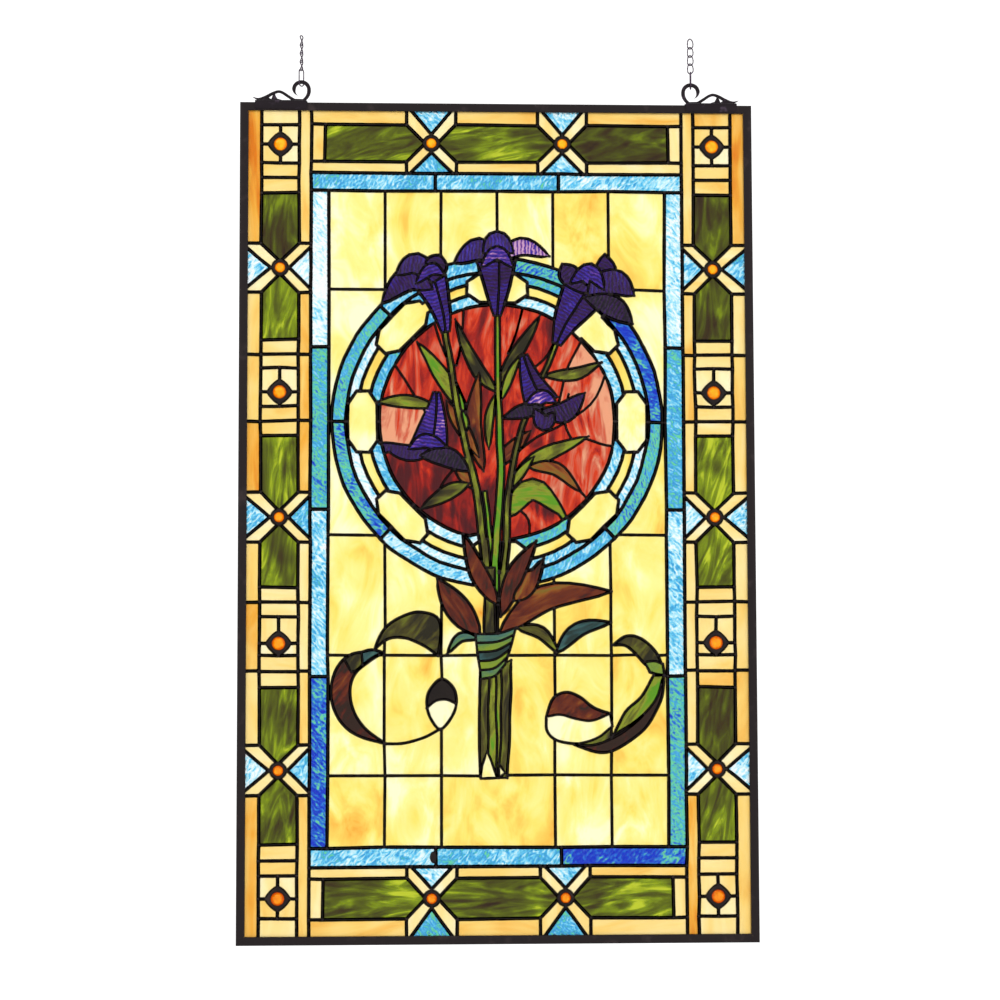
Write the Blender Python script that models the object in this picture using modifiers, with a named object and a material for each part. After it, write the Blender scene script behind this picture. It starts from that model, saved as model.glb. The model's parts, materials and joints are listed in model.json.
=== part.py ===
"""A hanging stained glass window panel: a channel frame, two cast scroll hangers on chains, and a picture of
a flower bouquet in a ring, made of flat glass between a front and a back net of solder lines.

Metres, +Z up. The panel stands in the XZ plane with its front towards -Y. The origin is the hanging point,
midway between the eyes of the two top links. The picture is drawn as a cartoon of flat outlines painted
one over another. Every outline cuts the ones under it, and what shows of each is a pane of glass.
"""
import math
from collections import namedtuple

import bpy
from mathutils import Vector, geometry

# Panel and frame
PANEL_WIDTH = 0.508
PANEL_HEIGHT = 0.826
FRAME_FACE = 0.0085
FRAME_DEPTH = 0.0086
FRAME_WALL = 0.0009
FRAME_BACK = 0.0015

# Glass and solder
GLASS_THICKNESS = 0.003
SOLDER_WIDTH = 0.0034
SOLDER_RISE_FRONT = 0.0012
SOLDER_RISE_BACK = 0.0009
GAP = 0.0003
SMALLEST_PANE = 5e-5
SMALLEST_OPENING = 3e-5
STRAIGHT = 2e-5
PULL_STEPS = 25

# Border: an outer strip, a middle band and an inner strip, then a row of blue strips
OUTER_STRIP = 0.0214
MIDDLE_BAND = 0.0372
INNER_STRIP = 0.0117
BLUE_STRIP = 0.0177
FOOT_OUTER_STRIP = 0.0245
FOOT_MIDDLE_BAND = 0.0392
FOOT_INNER_STRIP = 0.0109
FOOT_BLUE_STRIP = 0.0184

# Rows of the side columns
HEAD_ROW = 0.0226
FOOT_ROW = 0.0255
BLOCK_LENGTH = 0.0384
RECT_PAIR_LENGTH = 0.0292
CROSSING_LENGTH = 0.0488
CROSSINGS_A_SIDE = 3

# Crossings and jewels
BAND_CROSSING_OFFSET = 0.065
BAND_END_RECT = 0.0133
BAR_WIDTH = 0.0119
CROSSING_APEX = 0.006
BLOCK_JEWEL_RADIUS = 0.0069
CROSSING_JEWEL_RADIUS = 0.0054
JEWEL_RISE = 0.0022
JEWEL_TABLE_SHARE = 0.5
JEWEL_SIDES = 6

# Field and ring
FIELD_COLUMNS = 6
FIELD_ROW_DROPS = (0.1863, 0.4292, 0.5468, 0.6636)
BLUE_SIDE_DROPS = (0.2438, 0.404, 0.567)
BLUE_BREAK_OFFSET = 0.061
RING_CENTRE_DROP = 0.3174
RING_MARGIN = 0.003
RING_BLUE_BAND = 0.014
RING_MIDDLE_BANDS = 0.033
RING_SEGMENTS = 24
RING_ARCS = 8
OVAL_HALF_LENGTH = 0.03
OVAL_HALF_WIDTH = 0.0145

# The picture is drawn for a ring of this radius and a field between these two levels below the panel's
# top. It grows with the real ring and is stretched to the real field
DRAWN_RING_RADIUS = 0.163
DRAWN_FIELD_HEAD = 0.088
DRAWN_FIELD_FOOT = 0.733
LEAF_STEPS = 3

# Hangers
HANGER_INSET = 0.0603
HANGER_THICKNESS = 0.0024
HANGER_BAND = 0.0039
HANGER_FOOT_LENGTH = 0.051
HANGER_FOOT_RISE = 0.0015
HANGER_LAP = 0.0075
HANGER_LAP_THICKNESS = 0.001
EYE_HEIGHT = 0.0135
EYE_RADIUS = 0.0075

# Chains
LONG_LINK_LENGTH = 0.0185
LONG_LINK_WIDTH = 0.0074
LINK_LENGTH = 0.0113
LINK_WIDTH = 0.0068
LINK_WIRE = 0.0012
LINK_PLAY = 0.0005
LONG_LINK_PLAY = 0.0016
LINKS_A_SIDE = 4
LINK_TWIST = math.radians(45)

# Heights, worked out from the top link's eye downwards
LINK_LAP = 2 * LINK_WIRE + LINK_PLAY
EYE_TOP = EYE_HEIGHT + EYE_RADIUS - HANGER_BAND / 2
LONG_LINK_FOOT = EYE_TOP - LONG_LINK_PLAY - LINK_WIRE
CHAIN_TOP = LONG_LINK_FOOT + LONG_LINK_LENGTH + LINKS_A_SIDE * (LINK_LENGTH - LINK_LAP)
PANEL_TOP = LINK_WIRE - CHAIN_TOP

# Depths, from the middle of the glass
SOLDER_FOOT = GLASS_THICKNESS / 2 + GAP
FRONT_Y = -(SOLDER_FOOT + SOLDER_RISE_FRONT)
BACK_Y = SOLDER_FOOT + SOLDER_RISE_BACK
FRAME_MIDDLE_Y = (FRONT_Y + BACK_Y) / 2

# Edges of the glass, inside the channel
GLASS_EDGE = PANEL_WIDTH / 2 - FRAME_BACK - GAP
GLASS_HEAD = -(FRAME_BACK + GAP)
GLASS_FOOT = -(PANEL_HEIGHT - FRAME_BACK - GAP)
COLUMN_INNER = PANEL_WIDTH / 2 - OUTER_STRIP - MIDDLE_BAND - INNER_STRIP
FIELD_EDGE = COLUMN_INNER - BLUE_STRIP
BAND_HEAD = -(OUTER_STRIP + MIDDLE_BAND + INNER_STRIP)
BAND_FOOT = -(PANEL_HEIGHT - FOOT_OUTER_STRIP - FOOT_MIDDLE_BAND - FOOT_INNER_STRIP)
FIELD_HEAD = BAND_HEAD - BLUE_STRIP
FIELD_FOOT = BAND_FOOT + FOOT_BLUE_STRIP
RING_RADIUS = FIELD_EDGE - RING_MARGIN
PICTURE_SCALE = RING_RADIUS / DRAWN_RING_RADIUS
FIELD_STRETCH = (FIELD_HEAD - FIELD_FOOT) / (DRAWN_FIELD_FOOT - DRAWN_FIELD_HEAD)
RING_CENTRE = Vector((0.0, FIELD_HEAD - (RING_CENTRE_DROP - DRAWN_FIELD_HEAD) * FIELD_STRETCH))
GROUND_RADIUS = RING_RADIUS - RING_BLUE_BAND - RING_MIDDLE_BANDS

Region = namedtuple("Region", "sheet outline cuts at_back")
Jewel = namedtuple("Jewel", "name centre radius")

cartoon = []
jewels = []


def signed_area(loop):
    return sum(a.cross(b) for a, b in zip(loop, loop[1:] + loop[:1])) / 2


def region(sheet, outline, cuts=(), at_back=False):
    """an outline, turned anticlockwise, with the seams inside it"""
    return Region(sheet, outline if signed_area(outline) > 0 else outline[::-1], list(cuts), at_back)


def paint(sheet, outline, cuts=(), at_back=False):
    """adds an outline over all that is painted so far; at_back is for one that the back net follows too"""
    cartoon.append(region(sheet, outline, cuts, at_back))


def rectangle(left, foot, right, head):
    return [Vector(corner) for corner in ((left, foot), (right, foot), (right, head), (left, head))]


def arc(centre, radius, start, end, steps):
    """points of an arc in degrees, both ends included"""
    turns = [math.radians(start + (end - start) * i / steps) for i in range(steps + 1)]
    return [centre + radius * Vector((math.cos(turn), math.sin(turn))) for turn in turns]


def circle(centre, radius, steps, start=0.0):
    return arc(centre, radius, start, start + 360, steps)[:-1]


def level(drop):
    """the height of a level of the drawing, given in metres below the panel's top"""
    return FIELD_HEAD - (drop - DRAWN_FIELD_HEAD) * FIELD_STRETCH


def drawn(x, drop):
    """a point of the bouquet's drawing, in millimetres right of the middle and below the panel's top"""
    return Vector((x * PICTURE_SCALE / 1000, level(drop / 1000)))


def swollen(root, tip, width, bend=0.0, fullness=0.75, steps=LEAF_STEPS):
    """a leaf or petal: a bowed rib from root to tip with a swell on either side, pointed at both ends"""
    root, tip = drawn(*root), drawn(*tip)
    along = tip - root
    across = Vector((-along.y, along.x)).normalized() * (PICTURE_SCALE / 1000)
    left, right = [root], []
    for i in range(1, steps):
        share = i / steps
        rib = root + along * share + across * bend * 4 * share * (1 - share)
        half = across * width / 2 * math.sin(math.pi * share) ** fullness
        left.append(rib + half)
        right.append(rib - half)
    return left + [tip] + right[::-1]


def tapered(route, start_width, end_width):
    """a stem or trumpet: a band along the points of a route whose width changes evenly"""
    points = [drawn(*point) for point in route]
    left, right = [], []
    for i, point in enumerate(points):
        along = points[min(i + 1, len(points) - 1)] - points[max(i - 1, 0)]
        across = Vector((-along.y, along.x)).normalized()
        half = (start_width + (end_width - start_width) * i / (len(points) - 1)) / 2 * PICTURE_SCALE / 1000
        left.append(point + across * half)
        right.append(point - across * half)
    return left + right[::-1]


def add_jewel(name, centre, radius):
    """a jewel stands in an opening of the front net"""
    jewels.append(Jewel(name, centre, radius))


def paint_jewels():
    """the seats of the jewels, over everything else: square frames that stand on their corners"""
    for jewel in jewels:
        paint(None, circle(jewel.centre, (jewel.radius + GAP + SOLDER_WIDTH / 2) * math.sqrt(2), 4))


def column_rows():
    """the side columns' rows from the top down, as (kind, top, bottom) in metres from the panel's top"""
    blocks = CROSSINGS_A_SIDE + 1
    pairs = 2 * CROSSINGS_A_SIDE
    fixed = HEAD_ROW + FOOT_ROW + blocks * BLOCK_LENGTH + pairs * RECT_PAIR_LENGTH
    green = (PANEL_HEIGHT - fixed - CROSSINGS_A_SIDE * CROSSING_LENGTH) / (2 * CROSSINGS_A_SIDE)
    bay = ["block", "rects", "green down", "crossing", "green up", "rects"]
    kinds = ["head"] + bay * CROSSINGS_A_SIDE + ["block", "foot"]
    lengths = {"head": HEAD_ROW, "foot": FOOT_ROW, "block": BLOCK_LENGTH, "rects": RECT_PAIR_LENGTH,
               "crossing": CROSSING_LENGTH, "green down": green, "green up": green}
    rows, top = [], 0.0
    for kind in kinds:
        rows.append((kind, top, top + lengths[kind]))
        top += lengths[kind]
    return rows


def paint_crossing(sheet, name, centre, across, outer, inner, outer_line, inner_line):
    """four bars in an X with a triangle at the outer and inner side and a jewel in the middle.
    across points from the outer to the inner side; outer and inner are the distances to the border's
    edges, outer_line and inner_line those to the lines beside the middle band"""
    along = Vector((-across.y, across.x))
    half = CROSSING_LENGTH / 2
    corners = [centre + across * s + along * t for s, t in
               ((-outer, -half), (inner, -half), (inner, half), (-outer, half))]
    paint(sheet, corners, [[centre - across * outer, centre + across * inner]])
    for side, reach, line in ((-1, outer, outer_line), (1, inner, inner_line)):
        slope = (half - CROSSING_APEX) / line
        apex = CROSSING_APEX / slope
        shift = BAR_WIDTH * math.hypot(1, slope) / slope - apex
        base = min(half, (reach - shift) * slope)
        tip = centre + across * side * shift
        edge = centre + across * side * reach
        paint(sheet, [tip, edge + along * base, edge - along * base])
    add_jewel(name, centre, CROSSING_JEWEL_RADIUS)


def paint_column(side, sheet):
    """one side of the border: strips, blocks, bars and greens from top to bottom"""
    middle = PANEL_WIDTH / 2 - OUTER_STRIP - MIDDLE_BAND / 2
    outer_line = side * (PANEL_WIDTH / 2 - OUTER_STRIP)
    inner_line = side * (PANEL_WIDTH / 2 - OUTER_STRIP - MIDDLE_BAND)
    edge, inner_edge = side * GLASS_EDGE, side * COLUMN_INNER
    rows = column_rows()
    strips = [[Vector((x, GLASS_HEAD)), Vector((x, GLASS_FOOT))] for x in (outer_line, inner_line)]
    levels = [[Vector((outer_line, -bottom)), Vector((inner_line, -bottom))] for _, _, bottom in rows[:-1]]
    paint(sheet, rectangle(edge, GLASS_FOOT, inner_edge, GLASS_HEAD), strips + levels, True)
    word = "left" if side < 0 else "right"
    across = Vector((-side, 0.0))
    block = crossing = 0
    for kind, top, bottom in rows:
        centre = Vector((side * middle, -(top + bottom) / 2))
        if kind == "block":
            block += 1
            arms = [[Vector((outer_line, centre.y)), Vector((inner_line, centre.y))]]
            paint(sheet, rectangle(outer_line, -bottom, inner_line, -top), arms)
            add_jewel(f"jewel_block_{word}_{block}", centre, BLOCK_JEWEL_RADIUS)
        elif kind == "crossing":
            crossing += 1
            paint_crossing(sheet, f"jewel_crossing_{word}_{crossing}", centre, across,
                           GLASS_EDGE - middle, middle - COLUMN_INNER, MIDDLE_BAND / 2, MIDDLE_BAND / 2)
    paint_column_greens(sheet, rows, side * middle, outer_line, inner_line)


def paint_column_greens(sheet, rows, x, outer_line, inner_line):
    """the green blocks, each with a pointed end that runs into its crossing"""
    middles = [-(top + bottom) / 2 for kind, top, bottom in rows if kind == "crossing"]
    greens = [row for row in rows if row[0].startswith("green")]
    for index, (kind, top, bottom) in enumerate(greens):
        near = middles[index // 2]
        far, close = (-top, -bottom) if kind == "green down" else (-bottom, -top)
        apex = near + math.copysign(CROSSING_APEX, far - near)
        paint(sheet, [Vector((outer_line, far)), Vector((inner_line, far)), Vector((inner_line, close)),
                      Vector((x, apex)), Vector((outer_line, close))])


def paint_band(word, sheet, edge, line_1, line_2, inner_edge):
    """the border's top or bottom band, between the columns: two crossings and three greens"""
    middle = (line_1 + line_2) / 2
    half = CROSSING_LENGTH / 2
    lengthways = [[Vector((-COLUMN_INNER, z)), Vector((COLUMN_INNER, z))] for z in (line_1, line_2)]
    end_rect = COLUMN_INNER - BAND_END_RECT
    ends = [[Vector((x, line_1)), Vector((x, line_2))] for x in (-end_rect, end_rect)]
    paint(sheet, rectangle(-COLUMN_INNER, edge, COLUMN_INNER, inner_edge), lengthways + ends, True)
    across = Vector((0.0, math.copysign(1.0, inner_edge - edge)))
    for index, x in enumerate((-BAND_CROSSING_OFFSET, BAND_CROSSING_OFFSET)):
        paint_crossing(sheet, f"jewel_crossing_{word}_{index + 1}", Vector((x, middle)), across,
                       abs(middle - edge), abs(inner_edge - middle),
                       abs(middle - line_1), abs(line_2 - middle))
    near, far = BAND_CROSSING_OFFSET - half, BAND_CROSSING_OFFSET + half
    apex = BAND_CROSSING_OFFSET - CROSSING_APEX
    paint(sheet, [Vector(p) for p in ((-near, line_1), (near, line_1), (apex, middle), (near, line_2),
                                      (-near, line_2), (-apex, middle))])
    outer_apex = BAND_CROSSING_OFFSET + CROSSING_APEX
    for side in (-1, 1):
        paint(sheet, [Vector(p) for p in ((side * end_rect, line_1), (side * end_rect, line_2),
                                          (side * far, line_2), (side * outer_apex, middle),
                                          (side * far, line_1))])


def paint_blue_frame():
    """the blue strips round the field: top and bottom run through, the sides stand between them"""
    breaks = (-BLUE_BREAK_OFFSET, BLUE_BREAK_OFFSET)
    for word, foot, head in (("top", FIELD_HEAD, BAND_HEAD), ("bottom", BAND_FOOT, FIELD_FOOT)):
        cuts = [[Vector((x, foot)), Vector((x, head))] for x in breaks]
        paint("glass_blue_" + word, rectangle(-COLUMN_INNER, foot, COLUMN_INNER, head), cuts, True)
    for word, side in (("left", -1), ("right", 1)):
        cuts = [[Vector((side * FIELD_EDGE, level(drop))), Vector((side * COLUMN_INNER, level(drop)))]
                for drop in BLUE_SIDE_DROPS]
        outline = rectangle(side * FIELD_EDGE, FIELD_FOOT, side * COLUMN_INNER, FIELD_HEAD)
        paint("glass_blue_" + word, outline, cuts, True)


def paint_field():
    """the cream ground, an upper and a lower sheet that meet where the ring is widest"""
    pitch = 2 * FIELD_EDGE / FIELD_COLUMNS
    columns = [pitch * (i - FIELD_COLUMNS / 2) for i in range(1, FIELD_COLUMNS)]
    rows = [[Vector((-FIELD_EDGE, level(drop))), Vector((FIELD_EDGE, level(drop)))]
            for drop in FIELD_ROW_DROPS]
    foot_row = level(FIELD_ROW_DROPS[-1])
    upright = [[Vector((x, FIELD_HEAD)), Vector((x, foot_row if abs(x) < GAP else FIELD_FOOT))]
               for x in columns]
    for sheet, head, foot in (("glass_field_upper", FIELD_HEAD, RING_CENTRE.y),
                              ("glass_field_lower", RING_CENTRE.y, FIELD_FOOT)):
        paint(sheet, rectangle(-FIELD_EDGE, foot, FIELD_EDGE, head), upright + rows, True)


def paint_ring():
    """blue arcs outside, then long hexagons with a band between each pair"""
    sectors = (("glass_ring_left", 116, 270), ("glass_ring_right", -90, 59),
               ("glass_ring_head_right", 59, 90), ("glass_ring_head_left", 90, 116))
    blue_inner = RING_RADIUS - RING_BLUE_BAND
    inner_hoop = circle(RING_CENTRE, blue_inner, RING_SEGMENTS)
    hoops = [inner_hoop + inner_hoop[:1]]
    breaks = [[RING_CENTRE + radius * Vector((math.cos(turn), math.sin(turn)))
               for radius in (blue_inner, RING_RADIUS)]
              for turn in (2 * math.pi * i / RING_ARCS for i in range(RING_ARCS))]
    for sheet, start, end in sectors:
        steps = max(2, round((end - start) / 360 * RING_SEGMENTS))
        outline = arc(RING_CENTRE, RING_RADIUS, start, end, steps) + [RING_CENTRE]
        paint(sheet, outline, hoops + breaks, True)
    for i in range(RING_ARCS):
        turn = 360 * i / RING_ARCS
        sheet = next(name for name, start, end in sectors if (turn - start) % 360 < end - start)
        paint(sheet, long_hexagon(math.radians(turn)))


def long_hexagon(turn):
    """a hexagon on the ring's middle bands, longer round the ring than across it"""
    out = Vector((math.cos(turn), math.sin(turn)))
    along = Vector((-out.y, out.x))
    middle = RING_CENTRE + out * (GROUND_RADIUS + RING_MIDDLE_BANDS / 2)
    length, width = OVAL_HALF_LENGTH, OVAL_HALF_WIDTH
    shares = ((1, 0), (0.6, 1), (-0.6, 1), (-1, 0), (-0.6, -1), (0.6, -1))
    return [middle + along * length * t + out * width * s for t, s in shares]


def paint_leaves():
    """the red ground with leaves and stems over it, one sheet down to the binding"""
    sheet = "glass_ground_and_leaves"
    paint(sheet, circle(RING_CENTRE, GROUND_RADIUS, RING_SEGMENTS), (), True)
    leaves = (
        ((-31, 308), (-78, 240), 14, 0), ((-62, 302), (-117, 300), 13, 0), ((-3, 288), (-41, 218), 12, 2),
        ((15, 262), (38, 215), 12, -3), ((17, 367), (90, 328), 14, 9), ((30, 362), (82, 388), 13, 7),
        ((8, 412), (67, 410), 24, 16), ((-30, 377), (-74, 405), 14, -2))
    for root, tip, width, bend in leaves:
        paint(sheet, swollen(root, tip, width, bend))
    long_leaves = (
        ((-10, 530), (-60, 474), 30, -4), ((10, 524), (109, 484), 31, 4),
        ((-20, 534), (-48, 545), 10, -8), ((16, 523), (59, 548), 11, -2), ((54, 549), (109, 519), 15, 6))
    for root, tip, width, bend in long_leaves:
        paint(sheet, swollen(root, tip, width, bend, 0.6))
    paint(sheet, tapered(((0, 205), (1, 300), (0, 370)), 3, 7))
    paint(sheet, tapered(((-52, 226), (-44, 290), (-24, 360), (-14, 420)), 5, 8))
    paint(sheet, tapered(((60, 236), (22, 330), (8, 400)), 4, 8))
    for x, width in ((-15, 13), (-2, 13), (11, 13)):
        paint(sheet, tapered(((x * 0.8, 360), (x, 440), (x, 532)), width * 0.6, width))


def paint_binding():
    """five wraps round the stems, and the stems' ends below them"""
    for x, width, end in ((-15, 12, 640), (-4, 12, 668), (7, 11, 640), (14, 9, 668)):
        paint("glass_stem_ends", tapered(((x, 560), (x, end)), width, width))
    wraps = 4
    top, pitch = 523, 11.7
    for i in range(wraps):
        drop = top + pitch * i
        route = ((-25, drop + 8), (0, drop + 8), (17, drop + 2), (19 - i, drop - 4))
        paint("glass_binding", tapered(route, pitch + 3, pitch + 1))


FLOWERS = {
    "top": (((0, 210), (0, 162)), 7, 38, (((0, 156), (-39, 146), 22, -3), ((2, 154), (53, 144), 20, 2),
                                          ((0, 166), (1, 126), 30, 0))),
    "upper_left": (((-51, 227), (-64, 172)), 8, 32, (((-60, 188), (-110, 196), 26, -4),
                                                   ((-62, 182), (-96, 166), 24, 0),
                                                   ((-62, 188), (-62, 154), 30, -2))),
    "upper_right": (((59, 240), (86, 184)), 9, 46, (((80, 186), (66, 163), 22, 0),
                                                  ((92, 190), (109, 153), 26, 0),
                                                  ((92, 190), (136, 186), 30, 2))),
    "middle_right": (((29, 254), (43, 306)), 8, 38, (((46, 302), (6, 312), 17, 2),
                                                   ((42, 306), (84, 296), 20, 3))),
    "middle_left": (((-61, 290), (-69, 348)), 8, 42, (((-62, 344), (-114, 342), 19, -3),
                                                    ((-72, 344), (-30, 366), 21, 3))),
}


def paint_flowers():
    """five bell flowers: a trumpet from the stem's end to the mouth, then the petals round the mouth"""
    for name, (axis, throat, mouth, petals) in FLOWERS.items():
        paint("glass_flower_" + name, tapered(axis, throat, mouth))
        for root, tip, width, bend in petals:
            paint("glass_flower_" + name, swollen(root, tip, width, bend, 0.6))


def paint_scrolls():
    """the ornament at either side of the binding: a leaf and a crescent that curls under it"""
    left, right = "glass_scroll_left", "glass_scroll_right"
    paint(left, swollen((-119, 543), (-58, 543), 26, 16, 0.6))
    paint(left, swollen((-112, 546), (-112, 636), 30, -42, 0.6, 5))
    paint(left, swollen((-70, 572), (-42, 600), 26, 6, 0.6))
    paint(right, swollen((110, 543), (161, 562), 20, 12, 0.6))
    paint(right, swollen((158, 552), (72, 640), 20, -24, 0.6, 4))
    paint(right, swollen((48, 608), (109, 609), 16, 12, 0.6))


def draw_cartoon():
    """from the back to the front, with the frame of strips last so that it always bounds the picture"""
    paint_field()
    paint_ring()
    paint_leaves()
    paint_flowers()
    paint_binding()
    paint_scrolls()
    paint_blue_frame()
    paint_band("top", "glass_border_top", GLASS_HEAD, -OUTER_STRIP, -OUTER_STRIP - MIDDLE_BAND, BAND_HEAD)
    foot_line = -(PANEL_HEIGHT - FOOT_OUTER_STRIP)
    paint_band("bottom", "glass_border_bottom", GLASS_FOOT, foot_line, foot_line + FOOT_MIDDLE_BAND,
               BAND_FOOT)
    paint_column(-1, "glass_border_left")
    paint_column(1, "glass_border_right")
    paint_jewels()


class SplitPlane:
    """the cartoon cut into triangles along every outline and seam; each knows the region that shows"""

    def __init__(self, regions):
        points, seams, owners, faces = [], [], [], []
        for region in regions:
            faces.append(list(range(len(points), len(points) + len(region.outline))))
            points += region.outline
        for index, region in enumerate(regions):
            for line in region.cuts:
                first = len(points)
                points += line
                seams += [(i, i + 1) for i in range(first, len(points) - 1)]
                owners += [index] * (len(line) - 1)
        result = geometry.delaunay_2d_cdt(points, seams, faces, 1, 1e-6, True)
        self.points, edges, self.triangles, _, edge_sources, face_sources = result
        self.shows = [max(sources, default=None) for sources in face_sources]
        self.cut_by = {}
        for edge, sources in zip(edges, edge_sources):
            cutting = {owners[source] for source in sources if source < len(seams)}
            if cutting:
                self.cut_by[frozenset(edge)] = cutting
        self.triangle_at = {}
        for index, triangle in enumerate(self.triangles):
            for a, b in zip(triangle, triangle[1:] + triangle[:1]):
                self.triangle_at[a, b] = index

    def patches(self, label, seams_count):
        """groups of triangles of one label that are joined by an edge"""
        seen, groups = set(), []
        for start in range(len(self.triangles)):
            if start in seen or label[start] is None:
                continue
            group, stack = [], [start]
            seen.add(start)
            while stack:
                index = stack.pop()
                group.append(index)
                triangle = self.triangles[index]
                for a, b in zip(triangle, triangle[1:] + triangle[:1]):
                    other = self.triangle_at.get((b, a))
                    if other is None or other in seen or label[other] != label[start]:
                        continue
                    if seams_count and label[start] in self.cut_by.get(frozenset((a, b)), ()):
                        continue
                    seen.add(other)
                    stack.append(other)
            groups.append(group)
        return groups

    def area(self, group):
        return sum(geometry.area_tri(*(self.points[i] for i in self.triangles[index])) for index in group)

    def loops(self, group, label=None):
        """the closed outlines of a group of triangles, with the glass on their left"""
        inside = set(group)
        cut = (lambda a, b: label in self.cut_by.get(frozenset((a, b)), ())) if label is not None else None

        def passable(a, b):
            other = self.triangle_at.get((b, a))
            return other in inside and not (cut and cut(a, b))

        border = set()
        for index in group:
            triangle = self.triangles[index]
            for a, b in zip(triangle, triangle[1:] + triangle[:1]):
                if not passable(a, b):
                    border.add((a, b))
        loops = []
        while border:
            first = edge = min(border)
            loop = []
            while True:
                border.discard(edge)
                loop.append(edge[0])
                index = self.triangle_at[edge]
                pivot = edge[1]
                while True:
                    triangle = self.triangles[index]
                    onward = triangle[(triangle.index(pivot) + 1) % 3]
                    if not passable(pivot, onward):
                        break
                    index = self.triangle_at[onward, pivot]
                edge = (pivot, onward)
                if edge == first:
                    break
            loops.append(loop)
        return loops

    def corners(self, index_loops):
        """the points where three seams meet or one turns; the others lie along a straight seam"""
        beside = {}
        for loop in index_loops:
            for a, b in zip(loop, loop[1:] + loop[:1]):
                beside.setdefault(a, set()).add(b)
                beside.setdefault(b, set()).add(a)
        kept = set()
        for here, others in beside.items():
            if len(others) != 2:
                kept.add(here)
                continue
            before, after = (self.points[i] for i in others)
            chord = after - before
            if abs(chord.cross(self.points[here] - before)) > STRAIGHT * chord.length:
                kept.add(here)
        return kept

    def outlines(self, group, label=None):
        """a group's loops as points"""
        return [[self.points[i].copy() for i in loop] for loop in self.loops(group, label)]


def straightened(loop, tolerance=STRAIGHT):
    """drops the points that lie on the line between their neighbours"""
    kept = list(loop)
    changed = True
    while changed and len(kept) > 3:
        changed = False
        for i in range(len(kept)):
            before, here, after = kept[i - 1], kept[i], kept[(i + 1) % len(kept)]
            chord = after - before
            if chord.length < tolerance or abs(chord.cross(here - before)) / chord.length < tolerance:
                kept.pop(i)
                changed = True
                break
    return kept


def winding(point, loops):
    """how often the loops go round a point"""
    turns = 0
    for loop in loops:
        for a, b in zip(loop, loop[1:] + loop[:1]):
            if (a.y <= point.y) != (b.y <= point.y):
                side = (b - a).cross(point - a)
                if b.y > a.y and side > 0:
                    turns += 1
                elif b.y <= a.y and side < 0:
                    turns -= 1
    return turns


def distance_to(point, loops):
    """the shortest way from a point to any side of the loops"""
    best = math.inf
    for loop in loops:
        for a, b in zip(loop, loop[1:] + loop[:1]):
            side = b - a
            share = max(0.0, min(1.0, (point - a).dot(side) / side.length_squared))
            best = min(best, (a + side * share - point).length)
    return best


def triangulated(*groups):
    """the triangles between all loops of all groups, the points they use, and for each triangle how often
    each group's loops go round it, counted over the sides between it and the outside"""
    points, sides, group_of = [], [], []
    for number, loops in enumerate(groups):
        for loop in loops:
            first = len(points)
            points += loop
            sides += [(first + i, first + (i + 1) % len(loop)) for i in range(len(loop))]
            group_of += [number] * len(loop)
    verts, edges, triangles, _, sources, _ = geometry.delaunay_2d_cdt(points, sides, [], 0, 1e-7, True)
    step = {}
    for (a, b), origins in zip(edges, sources):
        turns = [0] * len(groups)
        for origin in origins:
            start, end = sides[origin]
            along = (points[end] - points[start]).dot(verts[b] - verts[a]) > 0
            turns[group_of[origin]] += 1 if along else -1
        step[a, b] = turns
        step[b, a] = [-turn for turn in turns]
    triangle_at = {(triangle[i], triangle[(i + 1) % 3]): index
                   for index, triangle in enumerate(triangles) for i in range(3)}
    turns_round = {}
    open_ends = [(index, step[edge]) for edge, index in triangle_at.items() if edge[::-1] not in triangle_at]
    while open_ends:
        index, turns = open_ends.pop()
        if index in turns_round:
            continue
        turns_round[index] = turns
        triangle = triangles[index]
        for i in range(3):
            outward = (triangle[(i + 1) % 3], triangle[i])
            if outward in triangle_at:
                open_ends.append((triangle_at[outward], [sum(pair) for pair in zip(turns, step[outward])]))
    return verts, triangles, [turns_round[index] for index in range(len(triangles))]


def inset(loops, depth):
    """the loops moved inwards by a depth; what is too narrow for it is lost"""
    loops = [loop for loop in map(straightened, loops) if len(loop) > 2]
    moved = []
    for loop in loops:
        shifted = []
        for i, here in enumerate(loop):
            into = (here - loop[i - 1]).normalized()
            out = (loop[(i + 1) % len(loop)] - here).normalized()
            normal = Vector((-into.y, into.x)) + Vector((-out.y, out.x))
            mitre = normal.length_squared / 2
            shifted.append(here + normal * (depth / max(mitre, 0.1)))
        moved.append(shifted)
    verts, triangles, turns = triangulated(moved)
    plane = SplitPlane.__new__(SplitPlane)
    plane.points, plane.triangles, plane.cut_by, plane.triangle_at = verts, triangles, {}, {}
    for index, triangle in enumerate(triangles):
        for a, b in zip(triangle, triangle[1:] + triangle[:1]):
            plane.triangle_at[a, b] = index
    label = []
    for triangle, (turn,) in zip(triangles, turns):
        middle = sum((verts[i] for i in triangle), Vector((0.0, 0.0))) / 3
        clear = turn == 1 and winding(middle, loops) == 1 and distance_to(middle, loops) > 0.95 * depth
        label.append(True if clear else None)
    result = []
    for group in plane.patches(label, False):
        if plane.area(group) > SMALLEST_OPENING:
            for loop in plane.outlines(group):
                inner = [pulled_in(i, loop, loops, depth) for i in range(len(loop))]
                inner = [point for point in inner if point]
                if len(inner) > 2:
                    result.append(straightened(inner))
    return result


def pulled_in(index, loop, loops, depth):
    """a corner of an inset loop, drawn towards its neighbours as far as it has to be to keep the depth"""
    here, onward = loop[index], loop[(index + 1) % len(loop)]
    rest = (loop[index - 1] + onward) / 2
    for share in range(PULL_STEPS):
        point = here.lerp(rest, share / PULL_STEPS)
        if winding(point, loops) == 1 and distance_to(point, loops) > 0.9 * depth:
            return point
    return None


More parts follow.
